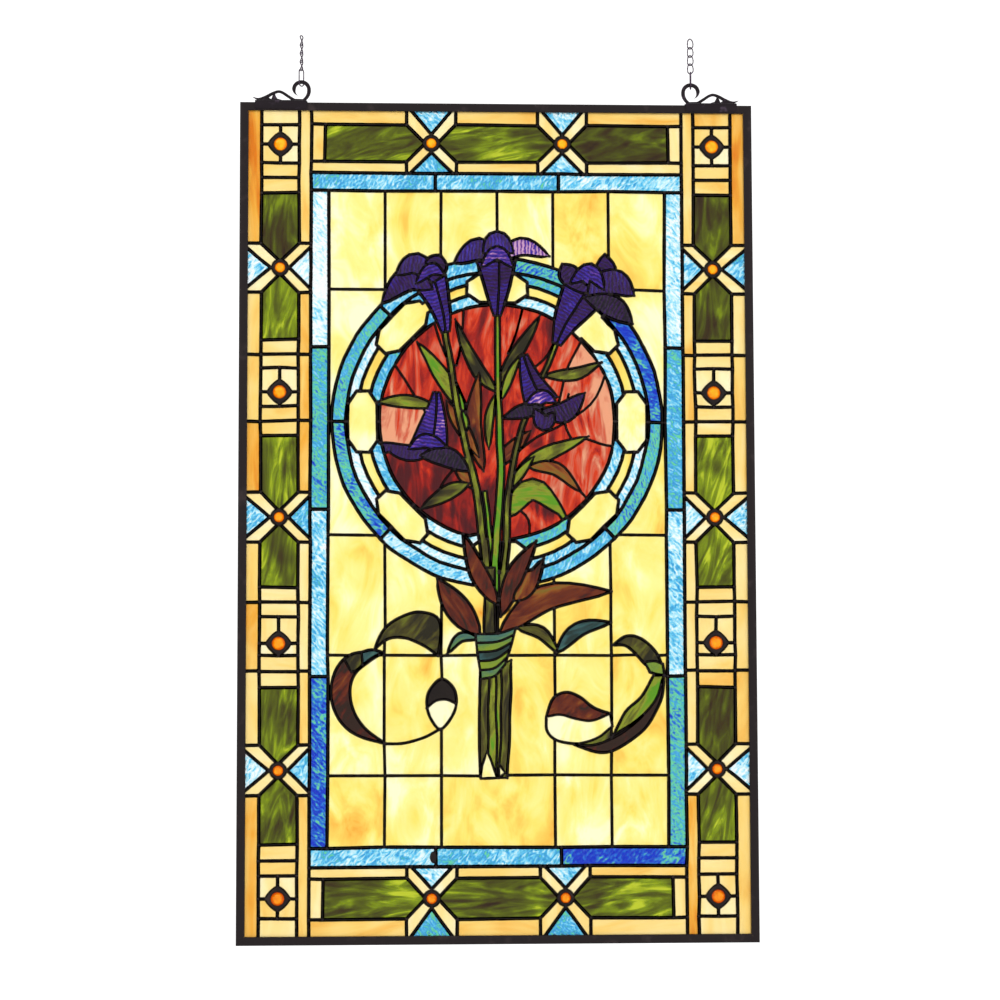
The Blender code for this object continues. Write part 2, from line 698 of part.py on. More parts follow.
def settle_sheets(plane):
    """the sheet of each triangle, with stray patches joined to the sheet they share most edge with"""
    sheets = [None if shown is None else cartoon[shown].sheet for shown in plane.shows]
    while True:
        groups = plane.patches(sheets, False)
        largest = {}
        for group in groups:
            name = sheets[group[0]]
            if name not in largest or plane.area(group) > plane.area(largest[name]):
                largest[name] = group
        strays = [group for group in groups if largest[sheets[group[0]]] is not group]
        if not strays:
            return sheets
        stray = min(strays, key=plane.area)
        shared = {}
        for index in stray:
            triangle = plane.triangles[index]
            for a, b in zip(triangle, triangle[1:] + triangle[:1]):
                other = plane.triangle_at.get((b, a))
                if other is not None and sheets[other] not in (None, sheets[index]):
                    length = (plane.points[a] - plane.points[b]).length
                    shared[sheets[other]] = shared.get(sheets[other], 0.0) + length
        new_sheet = max(sorted(shared), key=shared.get)
        for index in stray:
            sheets[index] = new_sheet


def make_material(name, colour, roughness, metallic=0.0):
    material = bpy.data.materials.new(name)
    material.use_nodes = True
    shader = material.node_tree.nodes["Principled BSDF"]
    shader.inputs["Base Color"].default_value = (*colour, 1.0)
    shader.inputs["Roughness"].default_value = roughness
    shader.inputs["Metallic"].default_value = metallic
    return material


def flat_plate(name, loops, front, back):
    """a plate with the loops' outline, openings included, that stands in the XZ plane between two depths"""
    verts, triangles, turns = triangulated(loops)
    middle = (front + back) / 2
    mesh = bpy.data.meshes.new(name)
    mesh.from_pydata([(point.x, middle, PANEL_TOP + point.y) for point in verts], [],
                     [triangle for triangle, turn in zip(triangles, turns) if turn == [1]])
    obj = bpy.data.objects.new(name, mesh)
    solid = obj.modifiers.new("thickness", "SOLIDIFY")
    solid.thickness = back - front
    solid.offset = 0.0
    return obj


def add_part(obj, colour, roughness, metallic=0.0):
    obj.data.materials.append(make_material(obj.name, colour, roughness, metallic))
    if obj.name not in parts.objects:
        parts.objects.link(obj)
    obj.parent = hanging_point
    return obj


def build_glass():
    """one flat sheet for each name in the cartoon, a gap apart"""
    colours = {"blue": (0.25, 0.6, 0.85), "field": (0.95, 0.85, 0.5), "border": (0.9, 0.75, 0.4),
               "ring": (0.5, 0.75, 0.85), "ground": (0.6, 0.15, 0.08), "flower": (0.2, 0.1, 0.45),
               "binding": (0.15, 0.35, 0.3), "stem": (0.25, 0.35, 0.1), "scroll": (0.2, 0.15, 0.08)}
    plane = SplitPlane([painted for painted in cartoon if painted.sheet])
    sheets = settle_sheets(plane)
    for group in plane.patches(sheets, False):
        name = sheets[group[0]]
        pane = flat_plate(name, inset(plane.outlines(group), GAP / 2), -GLASS_THICKNESS / 2, GLASS_THICKNESS / 2)
        add_part(pane, colours[name.split("_")[1]], 0.15)


class Relief:
    """a mesh in the making: points are found again by their place and depth"""

    def __init__(self):
        self.found, self.points, self.faces = {}, [], []

    def point(self, flat, depth):
        key = (round(flat.x, 7), round(flat.y, 7), round(depth, 7))
        if key not in self.found:
            self.found[key] = len(self.points)
            self.points.append((flat.x, depth, PANEL_TOP + flat.y))
        return self.found[key]

    def add(self, corners):
        face = [self.point(flat, depth) for flat, depth in corners]
        if len(set(face)) == len(face):
            self.faces.append(face)


def crested(verts, triangles, low):
    """splits each inner edge between two low points at its middle, so that no bead is left flat"""
    triangles = [list(triangle) for triangle in triangles]
    owner = {(triangle[i], triangle[(i + 1) % 3]): triangle for triangle in triangles for i in range(3)}
    waiting = [edge for edge in owner if edge[0] < edge[1] and edge[::-1] in owner and low.issuperset(edge)]
    for a, c in waiting:
        middle = len(verts)
        verts.append((verts[a] + verts[c]) / 2)
        for start, end in ((a, c), (c, a)):
            triangle = owner[start, end]
            tip = next(i for i in triangle if i not in (a, c))
            triangle[:] = [start, middle, tip]
            other = [middle, end, tip]
            triangles.append(other)
            owner[end, tip] = other
            owner[tip, start] = triangle
    return triangles


def merge_slivers(plane):
    """gives each patch that is too small to be a pane to the neighbour it shares most edge with"""
    while True:
        small = []
        for group in plane.patches(plane.shows, True):
            if plane.area(group) < SMALLEST_PANE:
                shared = {}
                for index in group:
                    triangle = plane.triangles[index]
                    for a, b in zip(triangle, triangle[1:] + triangle[:1]):
                        other = plane.triangle_at.get((b, a))
                        if other is not None and plane.shows[other] not in (None, plane.shows[index]):
                            length = (plane.points[a] - plane.points[b]).length
                            shared[plane.shows[other]] = shared.get(plane.shows[other], 0.0) + length
                if shared:
                    small.append((plane.area(group), group, max(sorted(shared), key=shared.get)))
        if not small:
            return
        _, group, shown = min(small, key=lambda entry: entry[0])
        for index in group:
            plane.shows[index] = shown


def build_net(name, regions, foot, crest):
    """a net of solder beads: each rises from the edges of the openings beside it to a crest on the seam"""
    plane = SplitPlane(regions)
    merge_slivers(plane)
    panes = [plane.loops(group, plane.shows[group[0]]) for group in plane.patches(plane.shows, True)]
    whole = [None if shown is None else 0 for shown in plane.shows]
    rim = max((loop for group in plane.patches(whole, False) for loop in plane.loops(group)), key=len)
    kept = plane.corners([loop for pane in panes for loop in pane])
    relief = Relief()
    openings = []
    for pane in panes:
        crests = [[plane.points[i] for i in loop if i in kept] for loop in pane]
        edges = inset([[plane.points[i] for i in loop] for loop in pane], SOLDER_WIDTH / 2)
        openings += edges
        low = {(round(point.x, 7), round(point.y, 7)) for loop in edges for point in loop}
        verts, triangles, turns = triangulated(crests, edges)
        low = {i for i, vert in enumerate(verts) if (round(vert.x, 7), round(vert.y, 7)) in low}
        beads = [triangle for triangle, turn in zip(triangles, turns) if turn == [1, 0]]
        for triangle in crested(verts, beads, low):
            relief.add([(verts[i], foot if i in low else crest) for i in triangle])
    rim = [plane.points[i] for i in rim if i in kept]
    verts, triangles, turns = triangulated([rim], openings)
    for triangle, turn in zip(triangles, turns):
        if turn == [1, 0]:
            relief.add([(verts[i], foot) for i in triangle[::-1]])
    for a, b in zip(rim, rim[1:] + rim[:1]):
        relief.add([(a, crest), (a, foot), (b, foot), (b, crest)])
    mesh = bpy.data.meshes.new(name)
    faces = relief.faces if crest < foot else [face[::-1] for face in relief.faces]
    mesh.from_pydata(relief.points, [], faces)
    add_part(bpy.data.objects.new(name, mesh), (0.05, 0.035, 0.03), 0.45, 0.8)


def turned(name, profile, sides):
    """a profile of (radius, height) pairs turned round the Y axis, front towards -Y"""
    mesh = bpy.data.meshes.new(name)
    points = [(radius, height, 0.0) for radius, height in profile]
    mesh.from_pydata(points, [(i, i + 1) for i in range(len(points) - 1)], [])
    obj = bpy.data.objects.new(name, mesh)
    screw = obj.modifiers.new("turn", "SCREW")
    screw.axis = "Y"
    screw.steps = sides
    screw.render_steps = sides
    screw.use_merge_vertices = True
    screw.merge_threshold = 0.00005
    screw.use_smooth_shade = False
    return obj


def build_jewels():
    """faceted glass buttons that stand on the glass in the holes of the front net"""
    for jewel in jewels:
        girdle = jewel.radius - GAP
        profile = [(0.0, -SOLDER_FOOT), (girdle, -SOLDER_FOOT),
                   (JEWEL_TABLE_SHARE * girdle, FRONT_Y - JEWEL_RISE), (0.0, FRONT_Y - JEWEL_RISE)]
        obj = turned(jewel.name, profile, JEWEL_SIDES)
        obj.location = (jewel.centre.x, 0.0, PANEL_TOP + jewel.centre.y)
        obj.rotation_euler = (0.0, math.pi / JEWEL_SIDES, 0.0)
        add_part(obj, (0.9, 0.35, 0.03), 0.08)


def build_frame():
    """four lengths of U channel with mitred ends that grip the stack's edge"""
    front, back = FRAME_MIDDLE_Y - FRAME_DEPTH / 2, FRAME_MIDDLE_Y + FRAME_DEPTH / 2
    lip_front, lip_back = front + FRAME_WALL, back - FRAME_WALL
    section = [(0.0, front), (FRAME_FACE, front), (FRAME_FACE, lip_front), (FRAME_BACK, lip_front),
               (FRAME_BACK, lip_back), (FRAME_FACE, lip_back), (FRAME_FACE, back), (0.0, back)]
    half_width, half_height = PANEL_WIDTH / 2, PANEL_HEIGHT / 2
    middle = PANEL_TOP - half_height
    for name, turn in (("top", 0), ("right", 1), ("bottom", 2), ("left", 3)):
        half, reach = (half_width, half_height) if turn % 2 == 0 else (half_height, half_width)
        points = [(side * (half - depth - GAP / 2), y, reach - depth)
                  for side in (-1, 1) for depth, y in section]
        count = len(section)
        faces = [tuple(range(count)), tuple(range(2 * count - 1, count - 1, -1))]
        faces += [(i, i + count, (i + 1) % count + count, (i + 1) % count) for i in range(count)]
        mesh = bpy.data.meshes.new("frame_" + name)
        mesh.from_pydata(points, [], [face[::-1] for face in faces])
        obj = bpy.data.objects.new("frame_" + name, mesh)
        obj.location = (0.0, 0.0, middle)
        obj.rotation_euler = (0.0, turn * math.pi / 2, 0.0)
        add_part(obj, (0.1, 0.08, 0.075), 0.4, 0.9)


def hanger_band():
    """the casting's ribbon from its tail over the wave and up into the open eye: points and half widths,
    measured from the foot of the eye's centre line, outwards along the frame and upwards"""
    half = HANGER_BAND / 2
    wave = [(-0.0481, 0.0049, 0.1), (-0.0423, 0.0034, 0.6), (-0.0353, 0.0048, 0.9), (-0.0229, 0.0098, 0.72),
            (-0.0183, 0.0086, 0.72), (-0.0065, 0.0022, 0.8)]
    route = [(Vector((x, z)), half * share) for x, z, share in wave]
    centre = Vector((0.0, EYE_HEIGHT))
    steps = 10
    for i in range(steps + 1):
        share = i / steps
        turn = math.radians(-82 + 322 * share)
        radius = EYE_RADIUS * (1 + 0.5 * max(0.0, 1 - 3.4 * share) ** 2 - 0.2 * max(0.0, share - 0.7))
        thickness = half * (1.0 if share < 0.85 else (1 - share) / 0.15 + 0.1)
        route.append((centre + radius * Vector((math.cos(turn), math.sin(turn))), thickness))
    return route


def band_outline(route):
    left, right = [], []
    for i, (point, half) in enumerate(route):
        along = route[min(i + 1, len(route) - 1)][0] - route[max(i - 1, 0)][0]
        across = Vector((-along.y, along.x)).normalized()
        left.append(point + across * half)
        right.append(point - across * half)
    return left + right[::-1]


def build_hangers():
    """a flat casting that stands on the frame, with a foot that laps over the frame's face"""
    foot_end = -0.0455
    foot_base = GAP
    foot = rectangle(foot_end, foot_base, foot_end + HANGER_FOOT_LENGTH, foot_base + HANGER_FOOT_RISE)
    leaf = [Vector(p) for p in ((-0.0295, 0.0085), (-0.0305, foot_base), (-0.022, foot_base),
                                (-0.0265, 0.0035))]
    shape = SplitPlane([region("hanger", outline) for outline in (band_outline(hanger_band()), foot, leaf)])
    outline_loops = []
    solid = [None if shown is None else 0 for shown in shape.shows]
    for group in shape.patches(solid, False):
        outline_loops += [straightened(loop) for loop in shape.outlines(group)]
    frame_front = FRAME_MIDDLE_Y - FRAME_DEPTH / 2
    lap_front = frame_front - GAP - HANGER_LAP_THICKNESS
    for name, side in (("hanger_left", -1), ("hanger_right", 1)):
        eye_x = side * (PANEL_WIDTH / 2 - HANGER_INSET)
        loops = [[Vector((eye_x - side * point.x, point.y)) for point in loop] for loop in outline_loops]
        if side > 0:
            loops = [loop[::-1] for loop in loops]
        casting = flat_plate(name, loops, FRAME_MIDDLE_Y - HANGER_THICKNESS / 2,
                             FRAME_MIDDLE_Y + HANGER_THICKNESS / 2)
        ends = sorted((eye_x - side * foot_end, eye_x - side * (foot_end + HANGER_FOOT_LENGTH)))
        head = foot_base + HANGER_FOOT_RISE
        plate = l_plate(name + "_plate", ends, lap_front, FRAME_MIDDLE_Y + HANGER_THICKNESS,
                        foot_base, head * 0.9, frame_front - GAP)
        union = casting.modifiers.new("foot", "BOOLEAN")
        union.operation = "UNION"
        union.object = plate
        add_part(casting, (0.09, 0.075, 0.08), 0.4, 0.9)


def l_plate(name, ends, front, back, base, head, lap_back):
    """the hanger's foot: a strip on the frame's top edge that turns down over its face"""
    section = [(front, head), (front, base - HANGER_LAP), (lap_back, base - HANGER_LAP), (lap_back, base),
               (back, base), (back, head)]
    points = [(x, y, PANEL_TOP + z) for x in ends for y, z in section]
    count = len(section)
    faces = [tuple(range(count))[::-1], tuple(range(count, 2 * count))]
    faces += [(i, (i + 1) % count, (i + 1) % count + count, i + count) for i in range(count)]
    mesh = bpy.data.meshes.new(name)
    mesh.from_pydata(points, [], faces)
    mesh.validate()
    obj = bpy.data.objects.new(name, mesh)
    obj.hide_render = True
    obj.display_type = "WIRE"
    scratch.objects.link(obj)
    return obj


def link_path(length, width, twist):
    """a link's centre line: two straight sides and two round ends, turned evenly by twist along it"""
    radius = (width - LINK_WIRE) / 2
    straight = (length - LINK_WIRE) / 2 - radius
    points = []
    for start, centre in ((0, straight), (180, -straight)):
        for i in range(4):
            turn = math.radians(start + 60 * i)
            points.append((radius * math.cos(turn), centre + radius * math.sin(turn)))
    reach = straight + radius
    return [(x * math.cos(twist * z / reach), x * math.sin(twist * z / reach), z) for x, z in points]


def build_link(name, x, foot, length, width, twist, turn):
    curve = bpy.data.curves.new(name, "CURVE")
    curve.dimensions = "3D"
    curve.bevel_depth = LINK_WIRE / 2
    curve.bevel_resolution = 0
    spline = curve.splines.new("POLY")
    path = link_path(length, width, twist)
    spline.points.add(len(path) - 1)
    for target, point in zip(spline.points, path):
        target.co = (*point, 1.0)
    spline.use_cyclic_u = True
    obj = bpy.data.objects.new(name, curve)
    obj.location = (x, FRAME_MIDDLE_Y, PANEL_TOP + foot + length / 2)
    obj.rotation_euler = (0.0, 0.0, turn)
    add_part(obj, (0.12, 0.1, 0.12), 0.35, 0.9)


def build_chains():
    """a long link through each eye, then twisted links that hang in one plane"""
    for word, side, long_turn, turn, twist in (
            ("left", -1, math.radians(45), math.radians(90), -LINK_TWIST),
            ("right", 1, math.radians(90), 0.0, LINK_TWIST)):
        x = side * (PANEL_WIDTH / 2 - HANGER_INSET)
        foot = LONG_LINK_FOOT
        build_link(f"chain_{word}_1", x, foot, LONG_LINK_LENGTH, LONG_LINK_WIDTH, 0.0, long_turn)
        foot += LONG_LINK_LENGTH - LINK_LAP
        for i in range(LINKS_A_SIDE):
            build_link(f"chain_{word}_{i + 2}", x, foot, LINK_LENGTH, LINK_WIDTH, twist, turn)
            foot += LINK_LENGTH - LINK_LAP


for old in list(bpy.data.objects):
    bpy.data.objects.remove(old)
parts = bpy.data.collections.new("stained_glass_window")
scratch = bpy.data.collections.new("cutters")
bpy.context.scene.collection.children.link(parts)
bpy.context.scene.collection.children.link(scratch)
hanging_point = bpy.data.objects.new("hanging_point", None)
parts.objects.link(hanging_point)

draw_cartoon()
build_glass()
build_net("solder_lines_front", cartoon, -SOLDER_FOOT, FRONT_Y)
build_net("solder_lines_back", [painted._replace(cuts=[]) for painted in cartoon if painted.at_back],
          SOLDER_FOOT, BACK_Y)
build_jewels()
build_frame()
build_hangers()
build_chains()
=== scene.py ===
# %% [markdown]
# # A hanging stained glass panel
# This lesson dresses a plain CAD model of a stained glass panel. A real panel is cut from many small
# pieces of coloured sheet glass. Each piece gets a hem of copper foil, the pieces are laid side by side,
# and solder runs along every seam on both faces. A metal channel holds the edge, and two cast hangers
# carry it on chains. The script makes the same things in the same order: a drawing, the panes, the solder
# beads, the jewels, the frame, the hangers and the chains.

# %% Load the CAD model that everything is fitted to
import json
import math
import random

import bmesh
import bpy
from mathutils import Matrix, Vector, geometry, noise

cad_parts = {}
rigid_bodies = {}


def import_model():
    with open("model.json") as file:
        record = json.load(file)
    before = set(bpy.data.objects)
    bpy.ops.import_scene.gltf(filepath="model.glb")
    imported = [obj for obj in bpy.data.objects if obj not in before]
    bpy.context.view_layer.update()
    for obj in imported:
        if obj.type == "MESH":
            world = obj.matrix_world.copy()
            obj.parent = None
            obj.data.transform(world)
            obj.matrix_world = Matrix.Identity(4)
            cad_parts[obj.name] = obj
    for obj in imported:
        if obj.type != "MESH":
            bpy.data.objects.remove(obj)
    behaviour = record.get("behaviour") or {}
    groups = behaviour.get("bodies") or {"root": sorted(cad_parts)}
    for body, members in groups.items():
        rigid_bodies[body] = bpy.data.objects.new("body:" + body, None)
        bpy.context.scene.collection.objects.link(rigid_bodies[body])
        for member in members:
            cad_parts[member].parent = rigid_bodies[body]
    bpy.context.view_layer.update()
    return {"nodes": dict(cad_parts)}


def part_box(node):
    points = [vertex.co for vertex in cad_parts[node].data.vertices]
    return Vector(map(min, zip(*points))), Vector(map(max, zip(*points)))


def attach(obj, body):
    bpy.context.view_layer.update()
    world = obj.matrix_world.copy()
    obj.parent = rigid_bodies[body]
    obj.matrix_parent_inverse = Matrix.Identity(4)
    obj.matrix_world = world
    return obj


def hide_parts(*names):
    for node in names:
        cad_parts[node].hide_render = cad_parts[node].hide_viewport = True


for stray in list(bpy.data.objects):
    bpy.data.objects.remove(stray)
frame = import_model()

# %% [markdown]
# ## The camera first
# The panel was photographed from about its own height, a little to the left and a little below the
# middle. The camera stands 2.5 m away with a lens of 92 mm, which gives the same slight widening of the
# panel towards its foot.

# %% Place the camera
camera_data = bpy.data.cameras.new("camera")
camera_data.lens = 92.0
camera_data.sensor_width = 36.0
camera = bpy.data.objects.new("camera", camera_data)
camera.location = (-0.1083, -2.5, -0.657)
camera.rotation_euler = (1.64873, 0.00265, -0.044)
bpy.context.scene.collection.objects.link(camera)
bpy.context.scene.camera = camera
print("camera at", tuple(round(value, 3) for value in camera.location))

# %% [markdown]
# ## Sizes
# The outside sizes come from the CAD model, so that the panel stays where the solids are. The drawing is
# flat: x runs to the right of the middle and y down from the panel's top edge, as negative numbers.

# %% Read the outside sizes and name the others
PANEL_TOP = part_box("frame_top")[1][2]
PANEL_HEIGHT = PANEL_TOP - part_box("frame_bottom")[0][2]
PANEL_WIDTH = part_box("frame_right")[1][0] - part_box("frame_left")[0][0]
GLASS_FRONT, GLASS_BACK = (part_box("glass_field_upper")[i][1] for i in (0, 1))
FRAME_FRONT, FRAME_BACK = (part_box("frame_left")[i][1] for i in (0, 1))
SOLDER_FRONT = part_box("solder_lines_front")[0][1]
SOLDER_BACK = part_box("solder_lines_back")[1][1]
FRAME_FACE = 0.0085
FRAME_WALL = 0.0009
GLASS_INSET = 0.0018
SOLDER_WIDTH = 0.0036
PANE_GAP = 0.0006
OUTER_STRIP, MIDDLE_BAND, INNER_STRIP, BLUE_STRIP = 0.0214, 0.0372, 0.0117, 0.0177
FOOT_OUTER_STRIP, FOOT_MIDDLE_BAND, FOOT_INNER_STRIP, FOOT_BLUE_STRIP = 0.0245, 0.0392, 0.0109, 0.0184
CROSSING_LENGTH = 0.0488
BAR_WIDTH = 0.0106
CROSSING_APEX = 0.006
GLASS_EDGE = PANEL_WIDTH / 2 - GLASS_INSET
COLUMN_INNER = PANEL_WIDTH / 2 - OUTER_STRIP - MIDDLE_BAND - INNER_STRIP
FIELD_EDGE = COLUMN_INNER - BLUE_STRIP
BAND_HEAD = -(OUTER_STRIP + MIDDLE_BAND + INNER_STRIP)
BAND_FOOT = -(PANEL_HEIGHT - FOOT_OUTER_STRIP - FOOT_MIDDLE_BAND - FOOT_INNER_STRIP)
FIELD_HEAD, FIELD_FOOT = BAND_HEAD - BLUE_STRIP, BAND_FOOT + FOOT_BLUE_STRIP
print("panel", round(PANEL_WIDTH * 1000), "x", round(PANEL_HEIGHT * 1000), "mm, glass from", GLASS_FRONT)

# %% [markdown]
# ## The drawing
# Stained glass starts as a full size drawing, the cartoon, in which every line is a seam. Here the cartoon
# is a list of flat outlines that are painted one over another, from the back to the front. An outline hides
# what lies under it, and it may carry cuts, which are seams inside it. What shows of each outline between
# its cuts is a pane. Each outline names its glass, the CAD sheet that it belongs to, the direction of the
# glass's grain and its tone, from 0 for the palest to 1 for the darkest.

# %% Helpers that draw flat shapes
MM = 0.001
cartoon = []
chance = random.Random(7)


def signed_area(loop):
    return sum(a.cross(b) for a, b in zip(loop, loop[1:] + loop[:1])) / 2


def paint(sheet, glass, outline, cuts=(), tone=None, grain=90.0, spread=0.1):
    """one outline over all that is painted so far; its tone is a number, a rule by place, or left to chance"""
    if signed_area(outline) < 0:
        outline = outline[::-1]
    cartoon.append({"sheet": sheet, "glass": glass, "outline": outline, "cuts": list(cuts),
                    "tone": tone, "grain": grain, "spread": spread})


def rectangle(left, foot, right, head):
    return [Vector(corner) for corner in ((left, foot), (right, foot), (right, head), (left, head))]


def arc(centre, radius, start, end, steps):
    turns = [math.radians(start + (end - start) * i / steps) for i in range(steps + 1)]
    return [centre + radius * Vector((math.cos(turn), math.sin(turn))) for turn in turns]


def spot(x, drop):
    """a point in millimetres right of the middle and below the panel's top"""
    return Vector((x, -drop)) * MM


def smooth(points, steps=5):
    """a flowing line that passes through a few points"""
    ends = [points[0] * 2 - points[1]] + points + [points[-1] * 2 - points[-2]]
    line = []
    for a, b, c, d in zip(ends, ends[1:], ends[2:], ends[3:]):
        for i in range(steps):
            t = i / steps
            line.append((b * 2 + (c - a) * t + (a * 2 - b * 5 + c * 4 - d) * t ** 2
                         + (b * 3 - a - c * 3 + d) * t ** 3) / 2)
    return line + [points[-1]]


def blade(rib, width, fullest=0.45, end=0.0):
    """a leaf or petal: a rib of a few points, widest at a share of its length, with pointed ends"""
    line = smooth([spot(*point) for point in rib])
    left, right = [], []
    for i, point in enumerate(line):
        along = (line[min(i + 1, len(line) - 1)] - line[max(i - 1, 0)]).normalized()
        share = i / (len(line) - 1)
        swell = math.sin(math.pi * share ** (math.log(0.5) / math.log(fullest))) ** 0.85
        half = max(swell, end * (1 - share)) * width / 2 * MM
        across = Vector((-along.y, along.x)) * half
        left.append(point + across)
        right.append(point - across)
    loop = left + right[::-1]
    return [p for i, p in enumerate(loop) if (p - loop[i - 1]).length > 0.0002]


def band(rib, start_width, end_width):
    """a stem, wrap or trumpet: a band along a flowing line, with square ends"""
    line = smooth([spot(*point) for point in rib], 4)
    left, right = [], []
    for i, point in enumerate(line):
        along = (line[min(i + 1, len(line) - 1)] - line[max(i - 1, 0)]).normalized()
        half = (start_width + (end_width - start_width) * i / (len(line) - 1)) / 2 * MM
        left.append(point + Vector((-along.y, along.x)) * half)
        right.append(point - Vector((-along.y, along.x)) * half)
    return left + right[::-1]


print("drawing helpers ready")

# %% [markdown]
# ## The field and the ring
# A plain ground of cream glass is cut into a loose grid, as it would be to waste little sheet. The ring
# on it has blue arcs outside, eight cream octagons, and thin blue and cream arcs between these.

# %% Paint the field
RING_CENTRE = spot(0, 317.4)
RING_RADIUS = 0.163
FIELD_ROWS = (186.3, 429.2, 546.8, 663.6)
SCROLL_TENDRIL = ((-111.1, 632.7), (-90.6, 631.8), (-71.1, 625.9), (-55.5, 618))


def paint_field():
    pitch = 2 * FIELD_EDGE / 6
    foot_row = -FIELD_ROWS[-1] * MM
    upright = [[Vector((pitch * i, FIELD_HEAD)), Vector((pitch * i, FIELD_FOOT if i else foot_row))]
               for i in range(-2, 3)]
    rows = [[Vector((-FIELD_EDGE, -drop * MM)), Vector((FIELD_EDGE, -drop * MM))] for drop in FIELD_ROWS]
    paint("glass_field_upper", "cream", rectangle(-FIELD_EDGE, RING_CENTRE.y, FIELD_EDGE, FIELD_HEAD),
          upright + rows, 0.34, 90, 0.2)
    paint("glass_field_lower", "cream", rectangle(-FIELD_EDGE, FIELD_FOOT, FIELD_EDGE, RING_CENTRE.y),
          upright + rows + [smooth([spot(*point) for point in SCROLL_TENDRIL])], 0.36, 90, 0.2)


paint_field()
print(len(cartoon), "outlines")

# %% Paint the ring
RING_SHEETS = (("glass_ring_left", 116, 270), ("glass_ring_right", -90, 59),
               ("glass_ring_head_right", 59, 90), ("glass_ring_head_left", 90, 116))
BLUE_ARC_TONES = (0.9, 0.62, 0.3, 0.5, 0.66, 0.28, 0.42, 0.7)


def ring_sheet(turn):
    """the CAD sheet at a direction of the ring, in degrees"""
    return next(name for name, start, end in RING_SHEETS if (turn - start) % 360 < end - start)


def ring_piece(start, end, inner, outer, glass, tone, steps=8):
    """a curved strip of the ring between two directions and two radii"""
    outline = arc(RING_CENTRE, outer * MM, start, end, steps) + arc(RING_CENTRE, inner * MM, end, start, steps)
    paint(ring_sheet((start + end) / 2), glass, outline, (), tone, (start + end) / 2 + 90, 0.05)


def octagon(turn):
    """a long octagon on the ring's middle, its length along the ring"""
    out = Vector((math.cos(turn), math.sin(turn)))
    along = Vector((-out.y, out.x))
    middle = RING_CENTRE + out * 132.5 * MM
    shares = ((1, 0.42), (0.6, 1), (-0.6, 1), (-1, 0.42), (-1, -0.42), (-0.6, -1), (0.6, -1), (1, -0.42))
    return [middle + along * 30 * t * MM + out * 14.5 * s * MM for t, s in shares]


def paint_ring():
    for name, start, end in RING_SHEETS:
        outline = arc(RING_CENTRE, RING_RADIUS, start, end, 40)
        paint(name, "blue", outline + [RING_CENTRE], (), 0.5)
    for i in range(8):
        start, end = 45 * i, 45 * (i + 1)
        ring_piece(start, end, 149, 163, "blue", BLUE_ARC_TONES[i], 10)
        ring_piece(start, end, 138.4, 149, "blue", chance.uniform(0.05, 0.7))
        ring_piece(start, end, 127.6, 138.4, "cream", 0.45)
        ring_piece(start, end, 100, 127.6, "blue", chance.uniform(0.05, 0.75))
    for i in range(8):
        paint(ring_sheet(45 * i), "cream", octagon(math.radians(45 * i)), (), 0.2, 90, 0.1)


paint_ring()
print(len(cartoon), "outlines")

# %% [markdown]
# ## The bouquet
# The bouquet is free drawing: leaves are ribs with a swell, stems are bands, and the bell flowers are
# trumpets with petals round the mouth. The red ground is cut by a few seams from one leaf to another,
# because large pieces of streaky glass are always cut where a line can hide.

# %% Paint the ground and the leaves
GROUND = "glass_ground_and_leaves"
GROUND_SEAMS = (((-33, 200), (-36, 240), (-41, 262)), ((-64, 214), (-52, 250), (-31, 300)),
                ((-104, 256), (-76, 300), (-60, 326)), ((-120, 352), (-80, 338), (-64, 338)),
                ((-62, 395), (-50, 372), (-30, 350)), ((-70, 412), (-40, 430), (-18, 428)),
                ((27, 196), (20, 225), (10, 250)), ((68, 214), (50, 250), (30, 270)),
                ((86, 232), (70, 262), (60, 300)), ((110, 262), (92, 300), (60, 322)),
                ((60, 322), (40, 332), (22, 345)), ((70, 290), (66, 318), (76, 340)),
                ((86, 334), (104, 340), (118, 342)), ((78, 384), (86, 392), (94, 402)),
                ((56, 404), (62, 412), (68, 418)), ((14, 398), (30, 414), (30, 438)))
BROAD_REDS = (
    (((-116, 330), (-90, 270), (-50, 250), (-30, 300)), 0.72), (((30, 210), (80, 230), (70, 300), (20, 280)), 0.3))
LEAVES = (
    # rib, width, glass, tone, grain
    (((-31, 308), (-52, 276), (-79, 238)), 15, "leaf", 0.3), (((-62, 302), (-90, 297), (-118, 298)), 13, "leaf", 0.45),
    (((0, 288), (-22, 262), (-42, 216)), 13, "leaf", 0.75), (((-2, 290), (18, 252), (42, 212)), 13, "leaf", 0.85),
    (((46, 272), (76, 270), (103, 258)), 12, "leaf", 0.6), (((4, 296), (12, 272), (24, 250)), 8, "leaf", 0.4),
    (((-14, 366), (-24, 320), (-18, 268)), 17, "brown", 0.6), (((-18, 352), (-38, 318), (-50, 296)), 13, "brown", 0.4),
    (((-4, 364), (14, 344), (33, 326)), 14, "brown", 0.5), (((-22, 384), (-34, 366), (-47, 344)), 14, "brown", 0.45),
    (((17, 367), (50, 348), (90, 332)), 14, "leaf", 0.36), (((30, 362), (58, 364), (82, 388)), 13, "brown", 0.35),
    (((8, 412), (34, 384), (68, 412)), 22, "leaf", 0.3), (((-28, 378), (-50, 388), (-76, 404)), 14, "leaf", 0.7),
    (((10, 385), (22, 368), (36, 352)), 9, "leaf", 0.5), (((-8, 344), (-8, 312), (-2, 290)), 8, "leaf", 0.3),
    (((-36, 332), (-32, 318), (-34, 306)), 8, "leaf", 0.05))
FRONT_LEAVES = (
    (((-0.3, 498.1), (-18.8, 466.7), (-34.3, 427.4)), 17, "brown", 0.6), (((2.5, 509.9), (16.5, 468.7), (38.2, 434.3)), 17, "brown", 0.7),
    (((14.4, 494.2), (30.1, 478.5), (45, 451)), 15, "brown", 0.5))
